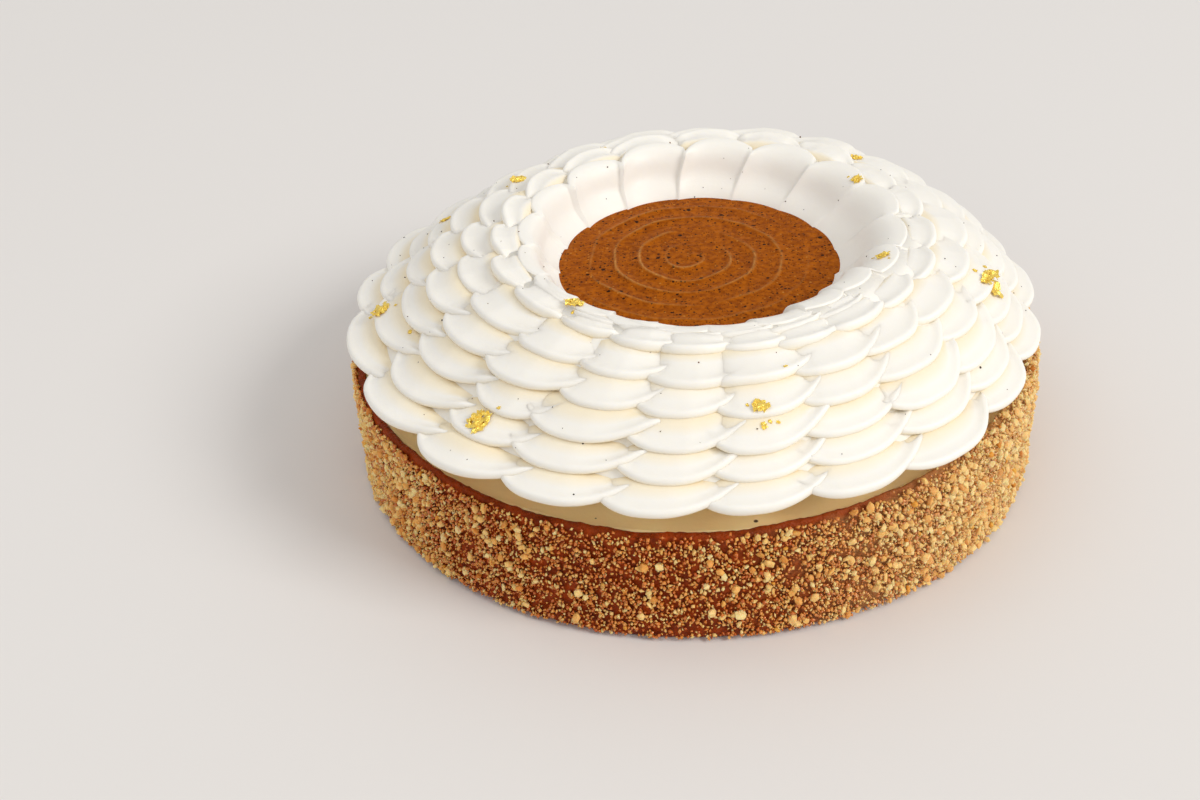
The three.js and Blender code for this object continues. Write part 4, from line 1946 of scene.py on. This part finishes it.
    def build(self, tree: LayTree, material: Material) -> list[Piece]:
        """Makes the petals and the crest.

        Args:
            tree: The tree that lays the petals.
            material: The cream's finish.

        Returns:
            The finished pieces.
        """
        shapes = [form.build(f"petal_{i:03d}") for i, form in enumerate(self.forms())]
        petals = tree.lay("piped_petals", shapes, self.places(self.piped()), material)
        draws = Draws(self.seed + 3)
        loops = np.array([cut for petal in self.crest_lobes() for cut in self.lobe(petal, draws)])
        crest = ring_object("cream_crest", loops)
        crest.data.materials.append(material)
        return [settle(piece, Slot.CREAM, "cream_petals") for piece in (petals, crest)]


@dataclass
class PralineCentre:
    """The pool of praline in the bowl, with its spiral ridge."""

    centre_x: float = 2.4
    radius: float = 41.0
    level: float = 53.4
    floor: float = 46.0
    eye: float = 0.3
    edge_from: float = 38.5
    edge_over: float = 2.5
    edge_drop: float = 0.5
    swirl_centre: Span = (1.0, 2.0)
    pitch: float = 7.0
    ridge: float = 0.5
    ridge_width: float = 0.065
    swirl_reach: float = 37.0
    around: int = 200
    rings: int = 90

    def build(self, tree: SwirlTree, material: Material) -> Piece:
        """Makes the praline.

        Args:
            tree: The tree that raises the ridge.
            material: Its finish.

        Returns:
            The finished piece.
        """
        profile = [(self.eye, self.floor, 0.0), (self.radius, self.floor, 0.0)]
        for radius in np.linspace(self.radius, self.eye, self.rings):
            drop = self.edge_drop * max(0.0, (radius - self.edge_from) / self.edge_over) ** 2
            profile.append((radius, self.level - drop, 1.0))
        loops = np.zeros((self.around, len(profile), 3))
        for i in range(self.around):
            for j, (radius, height, _) in enumerate(profile):
                x, y, z = on_ring(radius, 2 * math.pi * i / self.around, height)
                loops[i, j] = (self.centre_x + x, y, z)
        pool = ring_object("praline pool", loops)
        float_attribute(pool, "top", [share for _ in range(self.around) for *_, share in profile])
        values = {
            "Centre": (self.swirl_centre[0] * MM, self.swirl_centre[1] * MM, 0.0), "Pitch": self.pitch * MM,
            "Height": self.ridge * MM, "Width": self.ridge_width, "Reach": self.swirl_reach * MM,
            "Material": material,
        }
        piece = grown("praline", pool, tree.tree, values)
        return settle(piece, Slot.PRALINE, "praline_centre")


@dataclass(frozen=True)
class LeafSpot:
    """Where a flake of gold leaf lies on the crown, and its longer half-width in millimetres."""

    azimuth: float
    radius: float
    size: float


@dataclass
class GoldLeaf:
    """Crumpled flakes of gold leaf on the cream.

    Each larger flake is a first scrap with others on it and loose crumbs round it. The creases are given
    by height and frequency.
    """

    spots: tuple[LeafSpot, ...] = (
        LeafSpot(-130.0, 85.4, 3.2), LeafSpot(-12.6, 77.6, 3.8), LeafSpot(-172.4, 88.7, 3.3),
        LeafSpot(-132.0, 49.4, 3.0), LeafSpot(-80.4, 74.4, 2.6), LeafSpot(-80.7, 79.4, 1.2),
        LeafSpot(145.7, 64.6, 2.4), LeafSpot(156.7, 80.7, 1.8), LeafSpot(119.9, 58.4, 1.8),
        LeafSpot(45.3, 65.3, 2.0), LeafSpot(31.3, 50.2, 1.8), LeafSpot(-19.6, 49.0, 2.0),
        LeafSpot(-161.0, 82.3, 0.9), LeafSpot(-73.6, 65.4, 0.8),
    )
    centre: Span = (4.3, -2.0)
    shapes: int = 5
    bits: int = 4
    crumbs: int = 3
    single_up_to: float = 1.5
    first_size: float = 0.85
    bit_size: float = 0.62
    bit_stray: float = 0.55
    crumb_size: float = 0.2
    crumb_stray: float = 1.5
    size_spread: Span = (0.8, 1.1)
    turn: Span = (0, 6.28)
    grid: int = 7
    crumple: float = 1.7
    crumple_start: Span = (0, 50)
    ragged: Span = (0.35, 0.8)
    creases: tuple[Span, Span] = ((0.42, 1.0), (0.2, 2.3))
    narrow: float = 0.75
    raised: float = 0.25
    torn: float = 0.06
    thickness: float = 0.05
    beside: float = 0.9
    above: float = 120.0
    seed: int = 23

    def flake(self, name: str, draws: Draws) -> Piece:
        """One crumpled scrap of leaf, about two units across.

        Args:
            name: The object's name.
            draws: Random numbers for its creases.

        Returns:
            The scrap.
        """
        count = self.grid
        offset = Vector((draws.between(*self.crumple_start), draws.between(*self.crumple_start), 0))
        steps = np.linspace(-1, 1, count)
        points = []
        for x, y in ((x, y) for y in steps for x in steps):
            spot = Vector((x, y, 0)) * self.crumple + offset
            edge = 1 + self.ragged[0] * noise.noise(spot * self.ragged[1])
            fold = sum(crease * noise.noise(spot * rate) for crease, rate in self.creases)
            points.append((x * edge, self.narrow * y * edge, self.raised + fold))
        faces = []
        for i in range(count - 1):
            for j in range(count - 1):
                corner = i in (0, count - 2) and j in (0, count - 2)
                if not corner and draws.share() > self.torn:
                    a = i * count + j
                    faces.append((a, a + 1, a + count + 1, a + count))
        scrap = mesh_object(name, np.array(points), faces, smooth=False)
        scrap.modifiers.new("leaf", "SOLIDIFY").thickness = self.thickness * MM
        return scrap

    def top(self, surfaces: Sequence[BVHTree], x: float, y: float) -> tuple[Vector, Vector]:
        """Finds the flattest of a few spots of the cream close to a place.

        Args:
            surfaces: The cream's surfaces.
            x: The place from left to right, in millimetres.
            y: The place from front to back, in millimetres.

        Returns:
            The spot in metres and the cream's normal there.
        """
        found = []
        for across, along in ((0, 0), (1, 0), (-1, 0), (0, 1), (0, -1)):
            above = Vector((x + self.beside * across, y + self.beside * along, self.above)) * MM
            hits = [surface.ray_cast(above, Vector((0, 0, -1)))[:2] for surface in surfaces]
            found.append(max((hit for hit in hits if hit[0] is not None), key=lambda hit: hit[0].z))
        return max(found, key=lambda hit: hit[1].z)

    def build(self, tree: LayTree, cream: Sequence[Piece], material: Material) -> Piece:
        """Lays the flakes on the cream.

        Args:
            tree: The tree that lays them.
            cream: The pieces they lie on.
            material: Their finish.

        Returns:
            The finished piece.
        """
        draws = Draws(self.seed)
        depsgraph = bpy.context.evaluated_depsgraph_get()
        surfaces = [BVHTree.FromObject(piece, depsgraph) for piece in cream]
        bits = [(self.first_size, 0.0)] + [(self.bit_size, self.bit_stray)] * (self.bits - 1)
        bits += [(self.crumb_size, self.crumb_stray)] * self.crumbs
        places = []
        for spot in self.spots:
            x, y, _ = on_ring(spot.radius, math.radians(spot.azimuth), 0.0)
            for share, stray in bits if spot.size > self.single_up_to else bits[:1]:
                across = self.centre[0] + x + spot.size * stray * draws.swing()
                along = self.centre[1] + y + spot.size * stray * draws.swing()
                point, normal = self.top(surfaces, across, along)
                turned = Euler((0, 0, draws.between(*self.turn))).to_quaternion()
                lean = (normal.to_track_quat("Z", "Y") @ turned).to_euler()
                size = spot.size * share * draws.between(*self.size_spread)
                kind = int(draws.share() * self.shapes)
                places.append(Place(list(point / MM), list(lean), (size,) * 3, kind))
        shapes = [self.flake(f"leaf_{i}", draws) for i in range(self.shapes)]
        return settle(tree.lay("gold_leaf", shapes, places, material), Slot.CREAM)


@dataclass
class VanillaSpecks:
    """A few dark specks of vanilla in the cream."""

    apart: float = 3.5
    most: float = 5200.0
    sizes: Span = (0.3, 0.75)
    tones: Stops = ((0.0, (0.02, 0.012, 0.008)), (0.7, (0.07, 0.04, 0.02)), (1.0, (0.25, 0.12, 0.05)))
    facing_up: float = 0.2
    seed: int = 31

    def build(self, cream: Sequence[Piece], tree: ScatterTree, effects: Effects) -> Piece:
        """Scatters the specks on the cream.

        Args:
            cream: The pieces they lie on.
            tree: The tree that scatters.
            effects: Shared shader effects.

        Returns:
            The finished piece.
        """
        bed = mesh_object("speck bed", *self._skin(cream))
        float_attribute(bed, "coverage", [1.0] * len(bed.data.vertices))
        crumbs = Crumbs(
            CrumbKind.VANILLA, CrumbFinish("vanilla", self.tones), apart=self.apart, most=self.most,
            sizes=self.sizes, skew=2.0, lift=0.05, detail=1, roughness=0.1, lump=0.3, seed=self.seed,
        )
        return settle(crumbs.scatter(bed, tree, effects), Slot.CREAM)

    def _skin(self, cream: Sequence[Piece]) -> tuple[np.ndarray, Faces]:
        """Gathers the faces of the cream that can be seen from above.

        Args:
            cream: The pieces of cream.

        Returns:
            Points in millimetres, and faces.
        """
        points, faces = [], []
        for piece in cream:
            start = len(points)
            points += [tuple(vertex.co / MM) for vertex in piece.data.vertices]
            upward = [face for face in piece.data.polygons if face.normal.z > self.facing_up]
            faces += [tuple(start + i for i in face.vertices) for face in upward]
        return np.array(points), faces


@dataclass(frozen=True)
class Lamp:
    """A square soft light that faces the tart: its place and size in metres, and its power in watts."""

    name: str
    spot: Triple
    power: float
    size: float = 2.0
    colour: Colour = (1, 1, 1)

    def hang(self) -> None:
        """Hangs the lamp in its place."""
        data = bpy.data.lights.new(self.name, "AREA")
        data.size, data.energy, data.color = self.size, self.power, self.colour
        light = linked(self.name, data)
        light.location = self.spot
        light.rotation_euler = (-Vector(self.spot)).to_track_quat("-Z", "Y").to_euler()


@dataclass
class Studio:
    """Pale floor, soft light and a camera where the photograph was taken from."""

    elevation: float = 35.11
    distance: float = 470.0
    lens: float = 48.0
    sensor: float = 36.0
    clip: Span = (0.01, 50)
    base_pixel: Span = (689.7, 421.9)
    roll: float = 0.85
    frame_size: tuple[int, int] = (1200, 800)
    floor_size: float = 8.0
    floor_level: float = -0.2
    lamps: tuple[Lamp, ...] = (
        Lamp("key", (3.64, -1.70, 2.97), 128.0, colour=(1.0, 0.985, 0.965)),
        Lamp("top", (-1.0, 0.0, 2.8), 8.0),
        Lamp("fill", (-1.2, -3.4, 1.7), 12.0),
    )
    sky: Colour = (1.0, 0.985, 0.975)
    sky_strength: float = 0.58

    def camera(self) -> Piece:
        """Makes the camera, aimed so that the tart's base lies where the photograph has it.

        Returns:
            The camera.
        """
        rise = math.radians(self.elevation)
        back = Vector((0, -math.cos(rise), math.sin(rise)))
        axes = Matrix((Vector((1, 0, 0)), Vector((0, math.sin(rise), math.cos(rise))), back)).transposed()
        focal = self.lens / self.sensor * self.frame_size[0]
        u = (self.base_pixel[0] - self.frame_size[0] / 2) / focal
        v = -(self.base_pixel[1] - self.frame_size[1] / 2) / focal
        swing = Vector((0, 0, -1)).rotation_difference(Vector((u, v, -1)).normalized()).to_matrix()
        seen = Matrix.Rotation(math.radians(self.roll), 3, "Z") @ swing
        data = bpy.data.cameras.new("photo camera")
        data.lens, data.sensor_width = self.lens, self.sensor
        data.clip_start, data.clip_end = self.clip
        camera = linked("photo camera", data)
        turned = (axes @ seen.transposed()).to_4x4()
        camera.matrix_world = Matrix.Translation(back * self.distance * MM) @ turned
        bpy.context.scene.camera = camera
        return camera

    def build(self, material: Material) -> None:
        """Sets up floor, light, world and camera.

        Args:
            material: The floor's finish.
        """
        half = 0.5 * self.floor_size / MM
        corners = [(x * half, y * half, self.floor_level) for x, y in ((-1, -1), (1, -1), (1, 1), (-1, 1))]
        floor = mesh_object("pale_floor", np.array(corners), [(0, 1, 2, 3)])
        if floor.data.polygons[0].normal.z < 0:
            floor.data.flip_normals()
        floor.data.materials.append(material)
        for lamp in self.lamps:
            lamp.hang()
        world = bpy.data.worlds.new("studio")
        world.use_nodes = True
        background = world.node_tree.nodes["Background"]
        background.inputs["Color"].default_value = (*self.sky, 1)
        background.inputs["Strength"].default_value = self.sky_strength
        bpy.context.scene.world = world
        bpy.context.scene.view_settings.view_transform = "Standard"
        self.camera()


def main() -> None:
    """Builds the tart piece by piece, then the studio round it."""
    logging.basicConfig(level=logging.INFO, format="%(name)s: %(message)s")
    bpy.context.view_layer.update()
    effects = Effects()
    scatter, lay, swirl = ScatterTree(), LayTree(), SwirlTree()
    coat = NutCoat()
    TartShell().build(coat, ShellFinish().material(effects))
    coat.build(scatter, effects)
    CustardFilling().build(CustardFinish().material(effects))
    cream = CreamCrown().build(lay, CreamFinish().material(effects))
    PralineCentre().build(swirl, PralineFinish().material(effects))
    GoldLeaf().build(lay, cream, GoldFinish().material(effects))
    VanillaSpecks().build(cream, scatter, effects)
    Studio().build(FloorFinish().material(effects))


if __name__ == "__main__":
    main()
